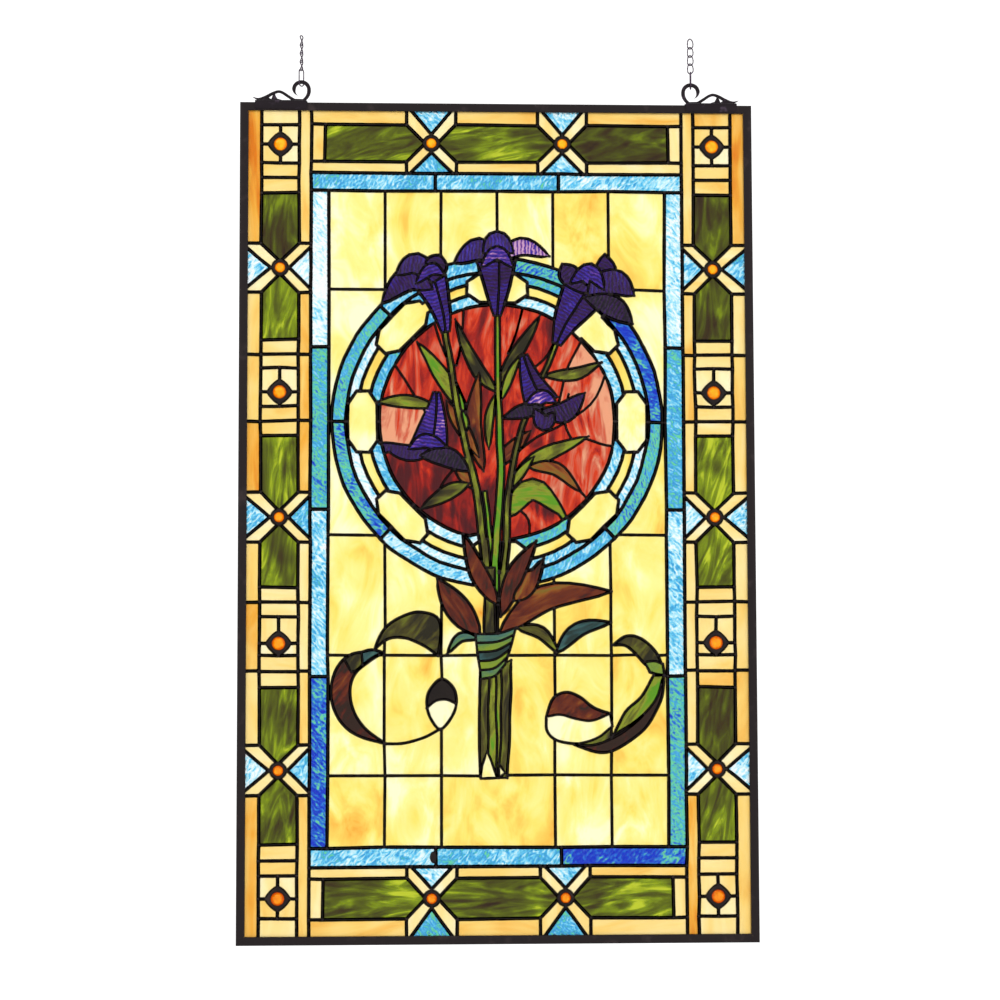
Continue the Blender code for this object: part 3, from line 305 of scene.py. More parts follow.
LONG_LEAVES = (
    (((-17.1, 527.6), (-40.4, 500.1), (-58.9, 471.6)), 24, "brown", 0.85), (((0.5, 527.6), (46.7, 490.3), (111.3, 484.4)), 25, "brown", 0.6),
    (((-19.1, 530.6), (-36.6, 529.6), (-49.4, 545.3)), 9, "teal", 0.6), (((19.1, 519.7), (41.6, 524.7), (61, 546.3)), 11, "leaf", 0.7),
    (((57.1, 544.3), (78.7, 521.7), (111, 514.8)), 14, "teal", 0.95))
STEMS = (
    (((-52, 226), (-44, 275), (-34, 330), (-21, 385), (-14, 440), (-7, 492)), 5, 8, 0.6),
    (((60, 236), (40, 284), (20, 335), (10, 395), (8, 440), (2, 492)), 4, 7, 0.55),
    (((-13, 386), (-9, 420), (-4, 470)), 4, 5, 0.2), (((0, 200), (1, 300), (3, 372), (-2, 440), (-4, 494)), 4, 9, 0.12),
    (((-7, 460.8), (-8.1, 498.1), (-7.3, 529.6)), 8, 12, 0.65))


def ground_tone(place):
    """salmon at the far left and right, deep red in the middle"""
    outside = min(1.0, max(0.0, (abs(place.x) / MM - 42) / 36))
    crimson = 0.32 if place.x < 0 and place.y < RING_CENTRE.y - 0.035 else 0.0
    return 0.66 - (0.5 if place.x > 0 else 0.32) * outside + crimson


def paint_ground():
    ground = arc(RING_CENTRE, 0.116, 0, 360, 72)[:-1]
    seams = [smooth([spot(*point) for point in seam], 4) for seam in GROUND_SEAMS]
    paint(GROUND, "red", ground, seams, ground_tone, 85, 0.14)


def paint_leaves():
    for rib, width, glass, tone in LEAVES + LONG_LEAVES:
        lean = math.degrees(math.atan2(rib[0][1] - rib[-1][1], rib[-1][0] - rib[0][0]))
        paint(GROUND, glass, blade(rib, width), (), tone, lean, 0.03)
    for rib, start_width, end_width, tone in STEMS:
        paint(GROUND, "leaf", band(rib, start_width, end_width), (), tone, 90, 0.03)
    for rib, width, glass, tone in FRONT_LEAVES:
        paint(GROUND, glass, blade(rib, width), (), tone, 70, 0.03)


paint_ground()
paint_leaves()
print(len(cartoon), "outlines")

# %% Paint the flowers
FLOWERS = {
    "top": dict(trumpet=((0, 212), (0, 190), (-1, 158)), widths=(7, 38), cup=((-16, 164), (0, 150), (16, 164)),
                petals=((((0, 160), (-18, 146), (-42, 160)), 22, 0.6), (((2, 158), (24, 143), (52, 152)), 17, 0.05),
                        (((-14, 150), (0, 138), (16, 150)), 20, 0.45))),
    "upper_left": dict(trumpet=((-51, 228), (-56, 204), (-66, 178)), widths=(8, 32), cup=((-80, 180), (-66, 166), (-52, 172)),
                       petals=((((-64, 186), (-88, 176), (-114, 200)), 24, 0.75),
                               (((-60, 180), (-80, 160), (-100, 172)), 20, 0.55),
                               (((-66, 180), (-60, 162), (-56, 152)), 22, 0.7))),
    "upper_right": dict(trumpet=((59, 240), (70, 214), (86, 188)), widths=(9, 44), cup=((72, 180), (92, 168), (106, 186)),
                        petals=((((88, 190), (72, 172), (64, 160)), 20, 0.8), (((90, 192), (106, 172), (107, 150)), 24, 0.75),
                                (((90, 190), (114, 178), (136, 192)), 26, 0.6), (((86, 194), (114, 203), (134, 220)), 22, 0.8))),
    "middle_right": dict(trumpet=((26, 252), (33, 276), (44, 300)), widths=(8, 34), cup=((28, 300), (44, 292), (58, 298)),
                         petals=((((46, 302), (28, 306), (4, 314)), 14, 0.8), (((42, 306), (66, 308), (86, 288)), 20, 0.7),
                                 (((36, 304), (46, 318), (56, 308)), 16, 0.75))),
    "middle_left": dict(trumpet=((-60, 288), (-62, 314), (-68, 344)), widths=(7, 38), cup=((-88, 344), (-70, 336), (-50, 342)),
                        petals=((((-60, 346), (-88, 348), (-116, 338)), 15, 0.8), (((-76, 350), (-50, 352), (-28, 366)), 19, 0.85))),
}


def paint_flowers():
    """each bell: a trumpet cut along its length, then the petals, then the open cup"""
    for name, flower in FLOWERS.items():
        sheet = "glass_flower_" + name
        trumpet = band(flower["trumpet"], *flower["widths"])
        middle = smooth([spot(*point) for point in flower["trumpet"]], 4)
        length_way = math.degrees(math.atan2(middle[-1].y - middle[0].y, middle[-1].x - middle[0].x))
        split = [point + Vector((0.0035, 0.001)) * (i / len(middle)) for i, point in enumerate(middle)]
        paint(sheet, "violet", trumpet, [split], 0.56, length_way, 0.2)
        for rib, width, tone in flower["petals"]:
            lean = math.degrees(math.atan2(rib[0][1] - rib[-1][1], rib[-1][0] - rib[0][0]))
            paint(sheet, "violet", blade(rib, width, 0.5), (), tone, lean, 0.1)
        paint(sheet, "violet", blade(flower["cup"], flower["widths"][1] * 0.36, 0.5), (), 0.4, length_way, 0.1)


paint_flowers()
print(len(cartoon), "outlines")

# %% Paint the binding, the stems below it and the scrolls
WRAP_LEFT, WRAP_RIGHT = ((-22, 526.6), (-17.3, 569.9)), ((18.1, 519.7), (7.2, 555.1))
WRAP_TONES = (0.7, 0.2, 0.95, 0.1, 0.3)
STEM_END_LINES = (((-18.2, 559), (-18.5, 616), (-17.7, 666.1)), ((-9.4, 559), (-9.6, 606.2), (-9.9, 666.1)),
                  ((-2.6, 557.1), (-1.8, 606.2), (-1.2, 666.1)), ((3.3, 555.1), (3, 606.2), (0.8, 666.1)),
                  ((13.1, 551.2), (11.8, 606.2), (8.6, 666.1)))


def joined(one, other):
    """the area between two flowing lines, each given from the same end"""
    loop = smooth([spot(*point) for point in one]) + smooth([spot(*point) for point in other])[::-1]
    return [p for i, p in enumerate(loop) if (p - loop[i - 1]).length > 0.0002]


def paint_binding():
    for one, other, tone in zip(STEM_END_LINES, STEM_END_LINES[1:], (0.85, 0.15, 0.35, 0.75)):
        paint("glass_stem_ends", "leaf", joined(one, other), (), tone, 90, 0.03)
    for pale in (((-17.7, 666.1), (-15.7, 653.4), (-10.8, 639.6), (-6.9, 647.5), (-1.2, 666.1)), ((0.9, 652.4), (6.7, 661.2), (0.8, 666.1))):
        paint("glass_stem_ends", "cream", [spot(*point) for point in pale], (), 0.1)
    wraps = []
    for i in range(6):
        share = i / 5
        (x0, y0), (x1, y1) = ((start[0] + (end[0] - start[0]) * share, start[1] + (end[1] - start[1]) * share)
                              for start, end in (WRAP_LEFT, WRAP_RIGHT))
        wraps.append(((x0, y0), (x0 + (x1 - x0) * 0.55, y0 + (y1 - y0) * 0.35 + 1.5), (x1, y1)))
    for one, other, tone in zip(wraps, wraps[1:], WRAP_TONES):
        paint("glass_binding", "teal", joined(one, other), (), tone, 12, 0.04)


LEFT_SCROLL = (
    # one edge, the other edge, glass, tone
    (((-120.7, 541.4), (-111.9, 521.7), (-94.2, 508.9), (-74.7, 504), (-57.1, 512.9), (-58.2, 547.3)),
     ((-120.7, 541.4), (-107, 530.6), (-90.4, 529.6), (-74.8, 536.5), (-58.2, 547.3)), "leaf", 0.85),
    (((-110.9, 544.3), (-132.4, 542.3), (-151, 551.2), (-162.7, 572.8), (-159.8, 598.3), (-144.2, 620.9), (-109.2, 632.7)),
     ((-110.9, 544.3), (-124.6, 552.2), (-138.3, 563), (-144.2, 578.7), (-141.3, 598.3), (-130.6, 616), (-109.2, 632.7)), "brown", 0.95),
    (((-110.9, 544.3), (-122.6, 541.4), (-133.4, 543.3)), ((-110.9, 544.3), (-122.7, 549.2), (-132.4, 556.1)), "teal", 0.9),
    (((-133.4, 543.3), (-142.2, 545.3), (-150, 550.2)), ((-132.4, 556.1), (-138.3, 561), (-143.2, 563)), "leaf", 0.95))
RIGHT_SCROLL = (
    (((111.8, 536.5), (125.6, 528.6), (141.2, 531.5), (154.8, 543.3), (163.4, 563)), ((111.8, 536.5), (123.5, 537.4), (133.3, 544.3), (143.9, 555.1), (148.8, 559)), "leaf", 0.85),
    (((143.9, 553.2), (153.7, 552.2), (161.5, 555.1)), ((148.7, 563), (155.5, 564.9), (163.3, 565.9)), "teal", 0.2),
    (((163.3, 566.9), (159.2, 591.5), (143.3, 619), (118.8, 636.7), (99.3, 641.6), (74, 633.7)), ((163.3, 566.9), (150.4, 594.4), (132.7, 614.1), (111.1, 627.8), (93.5, 633.7), (74, 633.7)), "brown", 0.98),
    (((162.4, 565.9), (154.3, 589.5), (136.6, 610.1), (112.1, 624.9)), ((152.6, 565.9), (139.7, 586.6), (124, 602.3), (112.1, 624.9)), "leaf", 0.25),
    (((110.2, 619), (95.5, 627.8), (74, 633.7)), ((111.1, 626.8), (97.4, 632.7), (74, 633.7)), "leaf", 0.6),
    (((46.9, 606.2), (53.9, 588.5), (66.6, 582.6), (80.2, 587.5), (93.8, 598.3), (109.4, 603.3)), ((46.9, 606.2), (60.6, 604.2), (76.2, 609.2), (91.7, 611.1), (109.4, 603.3)), "brown", 0.72))
BUD = ((-56.5, 619), (-66.2, 606.2), (-69.1, 590.5), (-65.1, 577.7), (-55.3, 568.9), (-43.7, 578.7), (-40.8, 592.5), (-45.7, 606.2))
BUD_LINE = ((-69.1, 597.4), (-60.3, 590.5), (-50.5, 589.5), (-41.8, 593.4))
BOWL = (((46.9, 606.2), (60.6, 604.2), (76.2, 609.2), (91.7, 611.1), (109.4, 603.3)), ((46.9, 606.2), (47.8, 620), (57.5, 629.8), (76, 632.7), (96.5, 627.8), (111.2, 616)))


def paint_scrolls():
    left, right = "glass_scroll_left", "glass_scroll_right"
    for one, other, glass, tone in LEFT_SCROLL:
        paint(left, glass, joined(one, other), (), tone, 50, 0.02)
    ring = [spot(*point) for point in BUD]
    bud = smooth(ring[-1:] + ring + ring[:2], 4)[4:-5]
    paint(left, "cream", bud, (), 0.05)
    lid = smooth([spot(*point) for point in BUD_LINE], 4)
    paint(left, "dark", [point for point in bud if point.y > lid[0].y + 0.0004] + lid[::-1], (), 0.5)
    paint(right, "cream", joined(*BOWL), (), 0.02)
    for one, other, glass, tone in RIGHT_SCROLL:
        paint(right, glass, joined(one, other), (), tone, 50, 0.02)


paint_binding()
paint_scrolls()
print(len(cartoon), "outlines")

# %% [markdown]
# ## The border
# The border is built from straight strips round square blocks, greens and crossings. A crossing is four
# bars in an X: blue triangles fill it at the sides and the pointed ends of two greens at the ends.

# %% Paint the blue strips and the crossings
BLUE_TONES = {"glass_blue_left": (0.02, 0.6, 0.28, 0.86), "glass_blue_right": (0.14, 0.44, 0.18, 0.68),
              "glass_blue_top": (0.34, 0.4, 0.18), "glass_blue_bottom": (0.3, 0.36, 0.93)}
BLUE_SIDE_DROPS = (243.8, 404, 567)


def paint_blue_frame():
    breaks = (-COLUMN_INNER, -0.061, 0.061, COLUMN_INNER)
    for sheet, foot, head in (("glass_blue_top", FIELD_HEAD, BAND_HEAD), ("glass_blue_bottom", BAND_FOOT, FIELD_FOOT)):
        for tone, left, right in zip(BLUE_TONES[sheet], breaks, breaks[1:]):
            paint(sheet, "blue", rectangle(left, foot, right, head), (), tone, 0, 0.02)
    levels = [FIELD_HEAD] + [-drop * MM for drop in BLUE_SIDE_DROPS] + [FIELD_FOOT]
    for sheet, side in (("glass_blue_left", -1), ("glass_blue_right", 1)):
        for tone, head, foot in zip(BLUE_TONES[sheet], levels, levels[1:]):
            outline = rectangle(side * FIELD_EDGE, foot, side * COLUMN_INNER, head)
            paint(sheet, "blue", outline, (), tone, 90, 0.02)


jewels = []


def paint_crossing(sheet, node, centre, across, outer, inner, outer_line, inner_line):
    """four cream bars in an X, with a blue triangle at either side and the seat of a jewel in the middle"""
    along = Vector((-across.y, across.x))
    half = CROSSING_LENGTH / 2
    grain = math.degrees(math.atan2(across.y, across.x))
    corners = [centre + across * s + along * t
               for s, t in ((-outer, -half), (inner, -half), (inner, half), (-outer, half))]
    paint(sheet, "amber", corners, [[centre - across * outer, centre + across * inner]], 0.3, grain, 0.12)
    for side, reach, line in ((-1, outer, outer_line), (1, inner, inner_line)):
        slope = (half - CROSSING_APEX) / line
        shift = BAR_WIDTH * math.hypot(1, slope) / slope - CROSSING_APEX / slope
        base = min(half, (reach - shift) * slope)
        edge = centre + across * side * reach
        paint(sheet, "blue", [centre + across * side * shift, edge + along * base, edge - along * base], (),
              chance.uniform(0.1, 0.46), grain, 0.02)
    jewels.append((node, centre, 0.0054))


print("crossing helper ready")

# %% Paint the side columns
ROWS = (("head", 0, 22.6), ("block", 22.6, 60.6), ("rects", 60.6, 90.3), ("green", 90.3, 139.4),
        ("crossing", 139.4, 188.3), ("green", 188.3, 236.6), ("rects", 236.6, 264.2), ("block", 264.2, 302.6),
        ("rects", 302.6, 331), ("green", 331, 381), ("crossing", 381, 429.8), ("green", 429.8, 480.3),
        ("rects", 480.3, 508.9), ("block", 508.9, 546.8), ("rects", 546.8, 578), ("green", 578, 626),
        ("crossing", 626, 677), ("green", 677, 729), ("rects", 729, 759.7), ("block", 759.7, 800.5),
        ("foot", 800.5, 826))
STRIP_BREAKS = (250.9, 317, 494.9, 561.7)
MIDDLE = PANEL_WIDTH / 2 - OUTER_STRIP - MIDDLE_BAND / 2


def node_centre(node):
    low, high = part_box(node)
    return Vector(((low[0] + high[0]) / 2, (low[2] + high[2]) / 2 - PANEL_TOP))


def paint_column(side, word):
    """one side of the border; its blocks and crossings stand where the CAD model's jewels are"""
    sheet = "glass_border_" + word
    outer_line, inner_line = side * (MIDDLE + MIDDLE_BAND / 2), side * (MIDDLE - MIDDLE_BAND / 2)
    edge, inner_edge = side * GLASS_EDGE, side * COLUMN_INNER
    foot, head = -(PANEL_HEIGHT - GLASS_INSET), -GLASS_INSET
    for a, b, tone in ((edge, outer_line, 0.6), (outer_line, inner_line, 0.45), (inner_line, inner_edge, 0.62)):
        cuts = [[Vector((a, -drop * MM)), Vector((b, -drop * MM))] for drop in STRIP_BREAKS] if tone > 0.5 else []
        paint(sheet, "amber", rectangle(a, foot, b, head), cuts, tone, 90, 0.25)
    if side < 0:
        paint(sheet, "amber", rectangle(edge, -139.4 * MM, outer_line, head), (), 0.84, 90, 0.02)
    blocks, crossings = [], []
    for kind, top, bottom in ROWS:
        outline = rectangle(outer_line, -bottom * MM, inner_line, -top * MM)
        if kind == "block":
            blocks.append((top, bottom))
            node = f"jewel_block_{word}_{len(blocks)}"
            centre = node_centre(node)
            arms = [[Vector((outer_line, centre.y)), Vector((inner_line, centre.y))],
                    [Vector((centre.x, -top * MM)), Vector((centre.x, -bottom * MM))]]
            paint(sheet, "amber", outline, arms, 0.3, 90, 0.2)
            jewels.append((node, centre, 0.0069))
        elif kind == "rects":
            level = -(top + bottom) / 2 * MM
            paint(sheet, "amber", outline, [[Vector((outer_line, level)), Vector((inner_line, level))]], 0.5, 0, 0.15)
        elif kind == "crossing":
            crossings.append(node_centre(f"jewel_crossing_{word}_{len(crossings) + 1}"))
            paint_crossing(sheet, f"jewel_crossing_{word}_{len(crossings)}", crossings[-1], Vector((-side, 0.0)),
                           GLASS_EDGE - MIDDLE, MIDDLE - COLUMN_INNER, MIDDLE_BAND / 2, MIDDLE_BAND / 2)
    greens = [row for row in ROWS if row[0] == "green"]
    for index, (_, top, bottom) in enumerate(greens):
        near = crossings[index // 2]
        way = 1 if index % 2 == 0 else -1
        far = -(top if way > 0 else bottom) * MM
        close = near.y + way * CROSSING_LENGTH / 2
        apex = near.y + way * CROSSING_APEX
        paint(sheet, "green", [Vector((outer_line, far)), Vector((inner_line, far)), Vector((inner_line, close)),
                               Vector((near.x, apex)), Vector((outer_line, close))], (), None, 80, 0.05)


print("column helper ready")

# %% Paint the bands and put the border together
def paint_band(word, edge, line_1, line_2, inner_edge):
    """the top or bottom band between the columns: two crossings and three greens"""
    sheet = "glass_border_" + word
    middle = (line_1 + line_2) / 2
    for a, b, tone in ((edge, line_1, 0.62), (line_1, line_2, 0.45), (line_2, inner_edge, 0.5)):
        paint(sheet, "amber", rectangle(-COLUMN_INNER, a, COLUMN_INNER, b), (), tone, 0, 0.2)
    across = Vector((0.0, math.copysign(1.0, inner_edge - edge)))
    end_rect = COLUMN_INNER - 0.0133
    for x in (-end_rect, end_rect):
        left, right = sorted((x, math.copysign(COLUMN_INNER, x)))
        paint(sheet, "amber", rectangle(left, line_1, right, line_2), (), 0.4, 90, 0.2)
    centres = [node_centre(f"jewel_crossing_{word}_{i}") for i in (1, 2)]
    for i, centre in enumerate(centres):
        paint_crossing(sheet, f"jewel_crossing_{word}_{i + 1}", centre, across, abs(middle - edge),
                       abs(inner_edge - middle), abs(middle - line_1), abs(line_2 - middle))
    offset = centres[1].x
    near, far = offset - CROSSING_LENGTH / 2, offset + CROSSING_LENGTH / 2
    apex = offset - CROSSING_APEX
    paint(sheet, "green", [Vector(p) for p in ((-near, line_1), (near, line_1), (apex, middle), (near, line_2),
                                               (-near, line_2), (-apex, middle))], (), None, 10, 0.05)
    apex = offset + CROSSING_APEX
    for side in (-1, 1):
        paint(sheet, "green", [Vector(p) for p in ((side * end_rect, line_1), (side * end_rect, line_2),
                                                   (side * far, line_2), (side * apex, middle),
                                                   (side * far, line_1))], (), None, 10, 0.05)


paint_blue_frame()
paint_band("top", -GLASS_INSET, -OUTER_STRIP, -OUTER_STRIP - MIDDLE_BAND, BAND_HEAD)
foot_line = -(PANEL_HEIGHT - FOOT_OUTER_STRIP)
paint_band("bottom", -(PANEL_HEIGHT - GLASS_INSET), foot_line, foot_line + FOOT_MIDDLE_BAND, BAND_FOOT)
paint_column(-1, "left")
paint_column(1, "right")


def seat_reach(radius, turn, spare=0.0):
    """how far the solder round a jewel reaches: a soft diamond in a block, a ring in a crossing"""
    if radius < 0.006:
        return radius + 0.0017 + spare
    x, y = abs(math.cos(turn)), abs(math.sin(turn))
    return (radius + 0.0042 + spare) / (x ** 1.3 + y ** 1.3) ** (1 / 1.3)


for _, centre, radius in jewels:
    turns = [2 * math.pi * i / 32 for i in range(32)]
    paint(None, None, [centre + seat_reach(radius, turn) * Vector((math.cos(turn), math.sin(turn))) for turn in turns])
print(len(cartoon), "outlines and", len(jewels), "jewels")

# %% [markdown]
# ## From the drawing to panes
# All outlines are cut against each other at once, in one triangulated plane. For every triangle the last
# outline painted over it shows. Triangles that show the same outline and share an edge that is no cut
# form one pane, and the edges between panes are the seams. Glass is cut by hand, so each point then
# wanders a little, which leaves no line perfectly straight across the panel.

# %% Cut the cartoon
SMALLEST_PANE = 3.4e-5


def by_hand(point):
    """where a hand would put a point: up to half a millimetre off, but exact at the jewels and at the rim"""
    room = min((point - centre).length for _, centre, _ in jewels) - 0.011
    room = min(room, GLASS_EDGE - abs(point.x), -GLASS_INSET - point.y, point.y + PANEL_HEIGHT - GLASS_INSET)
    drift = noise.noise_vector(Vector((point.x, point.y, 0.3)) * 38)
    return point + Vector((drift.x, drift.y)) * (0.0011 * min(1.0, max(0.0, room) / 0.012))


class Plane:
    """the cartoon as triangles; shows says which outline each of them belongs to"""

    def __init__(self):
        points, cut_edges, owners, faces = [], [], [], []
        for shape in cartoon:
            faces.append(list(range(len(points), len(points) + len(shape["outline"]))))
            points += shape["outline"]
        for index, shape in enumerate(cartoon):
            for line in shape["cuts"]:
                first = len(points)
                points += line
                cut_edges += [(i, i + 1) for i in range(first, len(points) - 1)]
                owners += [index] * (len(line) - 1)
        result = geometry.delaunay_2d_cdt(points, cut_edges, faces, 1, 1e-6, True)
        drawn, edges, self.triangles, _, edge_sources, face_sources = result
        self.points = [by_hand(point) for point in drawn]
        self.shows = [max(sources, default=None) for sources in face_sources]
        self.cut_by = {}
        for edge, sources in zip(edges, edge_sources):
            cutting = {owners[source] for source in sources if source < len(cut_edges)}
            if cutting:
                self.cut_by[frozenset(edge)] = cutting
        self.triangle_at = {(t[i], t[(i + 1) % 3]): n for n, t in enumerate(self.triangles) for i in range(3)}

    def joined(self, index, a, b):
        """the triangle across an edge, unless a seam runs along it"""
        other = self.triangle_at.get((b, a))
        if other is None or self.shows[other] != self.shows[index]:
            return None
        return None if self.shows[index] in self.cut_by.get(frozenset((a, b)), ()) else other

    def panes(self):
        """groups of triangles with no seam between them"""
        seen, groups = set(), []
        for start in range(len(self.triangles)):
            if start in seen or self.shows[start] is None:
                continue
            group, stack = [], [start]
            seen.add(start)
            while stack:
                index = stack.pop()
                group.append(index)
                t = self.triangles[index]
                for a, b in zip(t, t[1:] + t[:1]):
                    other = self.joined(index, a, b)
                    if other is not None and other not in seen:
                        seen.add(other)
                        stack.append(other)
            groups.append(group)
        return groups

    def area(self, group):
        return sum(geometry.area_tri(*(self.points[i] for i in self.triangles[n])) for n in group)

    def border(self, group):
        """the edges round a pane, with the glass on their left"""
        found = set()
        for index in group:
            t = self.triangles[index]
            found |= {(a, b) for a, b in zip(t, t[1:] + t[:1]) if self.joined(index, a, b) is None}
        return found

    def loops(self, group):
        """the border as closed lines of points"""
        border, loops = self.border(group), []
        while border:
            first = edge = min(border)
            loop = []
            while True:
                border.discard(edge)
                loop.append(self.points[edge[0]].copy())
                index, pivot = self.triangle_at[edge], edge[1]
                while True:
                    t = self.triangles[index]
                    onward = t[(t.index(pivot) + 1) % 3]
                    if self.joined(index, pivot, onward) is None:
                        break
                    index = self.triangle_at[onward, pivot]
                edge = (pivot, onward)
                if edge == first:
                    break
            loops.append(loop)
        return loops

    def merge_scraps(self):
        """gives what is too small to be a pane to the neighbour that it shares most edge with"""
        for group in sorted(self.panes(), key=self.area):
            if self.area(group) > SMALLEST_PANE or cartoon[self.shows[group[0]]]["sheet"] is None:
                continue
            shared = {}
            for a, b in self.border(group):
                other = self.triangle_at.get((b, a))
                if other is not None and cartoon[self.shows[other]]["sheet"]:
                    length = (self.points[a] - self.points[b]).length
                    shared[self.shows[other]] = shared.get(self.shows[other], 0.0) + length
            if shared:
                for index in group:
                    self.shows[index] = max(sorted(shared), key=shared.get)


plane = Plane()
plane.merge_scraps()
pane_groups = plane.panes()
print(len(plane.triangles), "triangles make", len(pane_groups), "panes")

# %% [markdown]
# ## Solid panes
# A pane is a flat plate with straight sides. It is a little smaller than its place in the drawing, because
# the copper foil needs room. Each pane gets its own flat UV map, turned along its grain and shifted by
# chance, so that two neighbours of one glass never show the same streak. Its tone is kept in an attribute.

# %% Shrink outlines
def straightened(loop, tolerance=0.00001):
    kept = list(loop)
    i = 0
    while i < len(kept) and len(kept) > 3:
        before, here, after = kept[i - 1], kept[i], kept[(i + 1) % len(kept)]
        chord = after - before
        if chord.length < tolerance or abs(chord.cross(here - before)) / chord.length < tolerance:
            kept.pop(i)
            i = max(i - 2, 0)
        else:
            i += 1
    return kept


def shrunk(loops, depth):
    """the loops moved inwards; a sharp corner moves at most three times the depth"""
    result = []
    for loop in loops:
        loop = straightened(loop)
        moved = []
        for i, here in enumerate(loop):
            into = (here - loop[i - 1]).normalized()
            out = (loop[(i + 1) % len(loop)] - here).normalized()
            normal = Vector((-into.y, into.x)) + Vector((-out.y, out.x))
            moved.append(here + normal * (depth / max(normal.length_squared / 2, 0.22)))
        result.append(moved)
    return result


def filled(loops):
    """the points and triangles between an outline and its holes"""
    points, sides = [], []
    for loop in loops:
        first = len(points)
        points += loop
        sides += [(first + i, first + (i + 1) % len(loop)) for i in range(len(loop))]
    verts, edges, triangles, _, sources, _ = geometry.delaunay_2d_cdt(points, sides, [], 0, 1e-7, True)
    step = {}
    for (a, b), origins in zip(edges, sources):
        turn = 0
        for origin in origins:
            start, end = sides[origin]
            turn += 1 if (points[end] - points[start]).dot(verts[b] - verts[a]) > 0 else -1
        step[a, b], step[b, a] = turn, -turn
    at = {(t[i], t[(i + 1) % 3]): n for n, t in enumerate(triangles) for i in range(3)}
    turns, stack = {}, [(n, step[edge]) for edge, n in at.items() if edge[::-1] not in at]
    while stack:
        n, turn = stack.pop()
        if n in turns:
            continue
        turns[n] = turn
        t = triangles[n]
        for i in range(3):
            outward = (t[(i + 1) % 3], t[i])
            if outward in at:
                stack.append((at[outward], turn + step[outward]))
    return verts, [t for n, t in enumerate(triangles) if turns[n] == 1]


print("outline helpers ready")

# %% Make the panes, one object for each glass of each CAD sheet
class PaneMesh:
    """collects the plates of one glass on one sheet"""

    def __init__(self):
        self.points, self.faces, self.uvs, self.tones = [], [], [], []

    def add(self, verts, triangles, front, back, turn, shift, tone):
        spun = Matrix.Rotation(-turn, 2)
        flat = [(spun @ (vert * 20)) + shift for vert in verts]
        first = len(self.points)
        for depth in (front, back):
            self.points += [(vert.x, depth, PANEL_TOP + vert.y) for vert in verts]
            self.uvs += flat
            self.tones += [tone] * len(verts)
        second = first + len(verts)
        sides = {(t[i], t[(i + 1) % 3]) for t in triangles for i in range(3)}
        self.faces += [[first + i for i in t] for t in triangles]
        self.faces += [[second + i for i in t[::-1]] for t in triangles]
        self.faces += [(first + b, first + a, second + a, second + b) for a, b in sorted(sides) if (b, a) not in sides]

    def build(self, name):
        mesh = bpy.data.meshes.new(name)
        mesh.from_pydata(self.points, [], self.faces)
        layer = mesh.uv_layers.new(name="grain")
        for corner in mesh.loops:
            layer.data[corner.index].uv = self.uvs[corner.vertex_index]
        tone = mesh.attributes.new("tone", "FLOAT", "POINT")
        tone.data.foreach_set("value", self.tones)
        obj = bpy.data.objects.new(name, mesh)
        bpy.context.scene.collection.objects.link(obj)
        return obj


pane_meshes = {}
for group in pane_groups:
    shape = cartoon[plane.shows[group[0]]]
    if shape["sheet"] is None:
        continue
    verts, triangles = filled(shrunk(plane.loops(group), PANE_GAP / 2))
    base = chance.uniform(0.3, 0.6) if shape["tone"] is None else shape["tone"]
    if callable(base):
        base = base(sum(verts, Vector((0, 0))) / len(verts))
    tone = min(1.0, max(0.0, base + chance.uniform(-1, 1) * shape["spread"]))
    turn = math.radians(shape["grain"] + chance.uniform(-8, 8))
    shift = Vector((chance.uniform(0, 60), chance.uniform(0, 60)))
    key = (shape["sheet"], shape["glass"])
    pane_meshes.setdefault(key, PaneMesh()).add(verts, triangles, GLASS_FRONT, GLASS_BACK, turn, shift, tone)
pane_objects = {key: mesh.build(key[0].replace("glass_", "panes_") + "_" + key[1])
                for key, mesh in sorted(pane_meshes.items())}
print(len(pane_objects), "pane objects")

# %% [markdown]
# ## Glass
# Art glass is coloured in the sheet. Cream and amber glass is opalescent: milky wisps run through it. The
# green, red, brown and violet glasses are streaky, and the blue one is rippled on one face. All of them
# are one recipe here. A stretched noise on the pane's own map, pushed up or down by the pane's tone, runs
# through a colour ramp, and a finer pattern gives the surface its relief. Light passes through, so that a
# bright room behind the panel makes it glow.

# %% A recipe for sheet glass
def rgb(red, green, blue):
    """a screen colour as the linear values that shaders use"""
    return tuple((value / 255 / 12.92) if value <= 10 else ((value / 255 + 0.055) / 1.055) ** 2.4
                 for value in (red, green, blue)) + (1.0,)


class Nodes:
    """short names for building a node tree"""

    def __init__(self, tree):
        self.tree = tree

    def add(self, kind, values=(), **settings):
        node = self.tree.nodes.new(kind)
        for name, value in settings.items():
            setattr(node, name, value)
        for name, value in dict(values).items():
            if hasattr(value, "is_output"):
                self.tree.links.new(value, node.inputs[name])
            else:
                node.inputs[name].default_value = value
        return node

    def math(self, operation, a, b=0.5, clamp=False):
        node = self.add("ShaderNodeMath", {0: a, 1: b}, operation=operation, use_clamp=clamp)
        return node.outputs[0]

    def ramp(self, factor, stops):
        node = self.add("ShaderNodeValToRGB", {"Fac": factor})
        for place, colour in stops[1:-1]:
            node.color_ramp.elements.new(place)
        for element, (place, colour) in zip(node.color_ramp.elements, stops):
            element.position = place
            element.color = rgb(*colour)
        return node.outputs["Color"]


def new_material(name):
    material = bpy.data.materials.new(name)
    material.use_nodes = True
    return material, Nodes(material.node_tree), material.node_tree.nodes["Principled BSDF"]


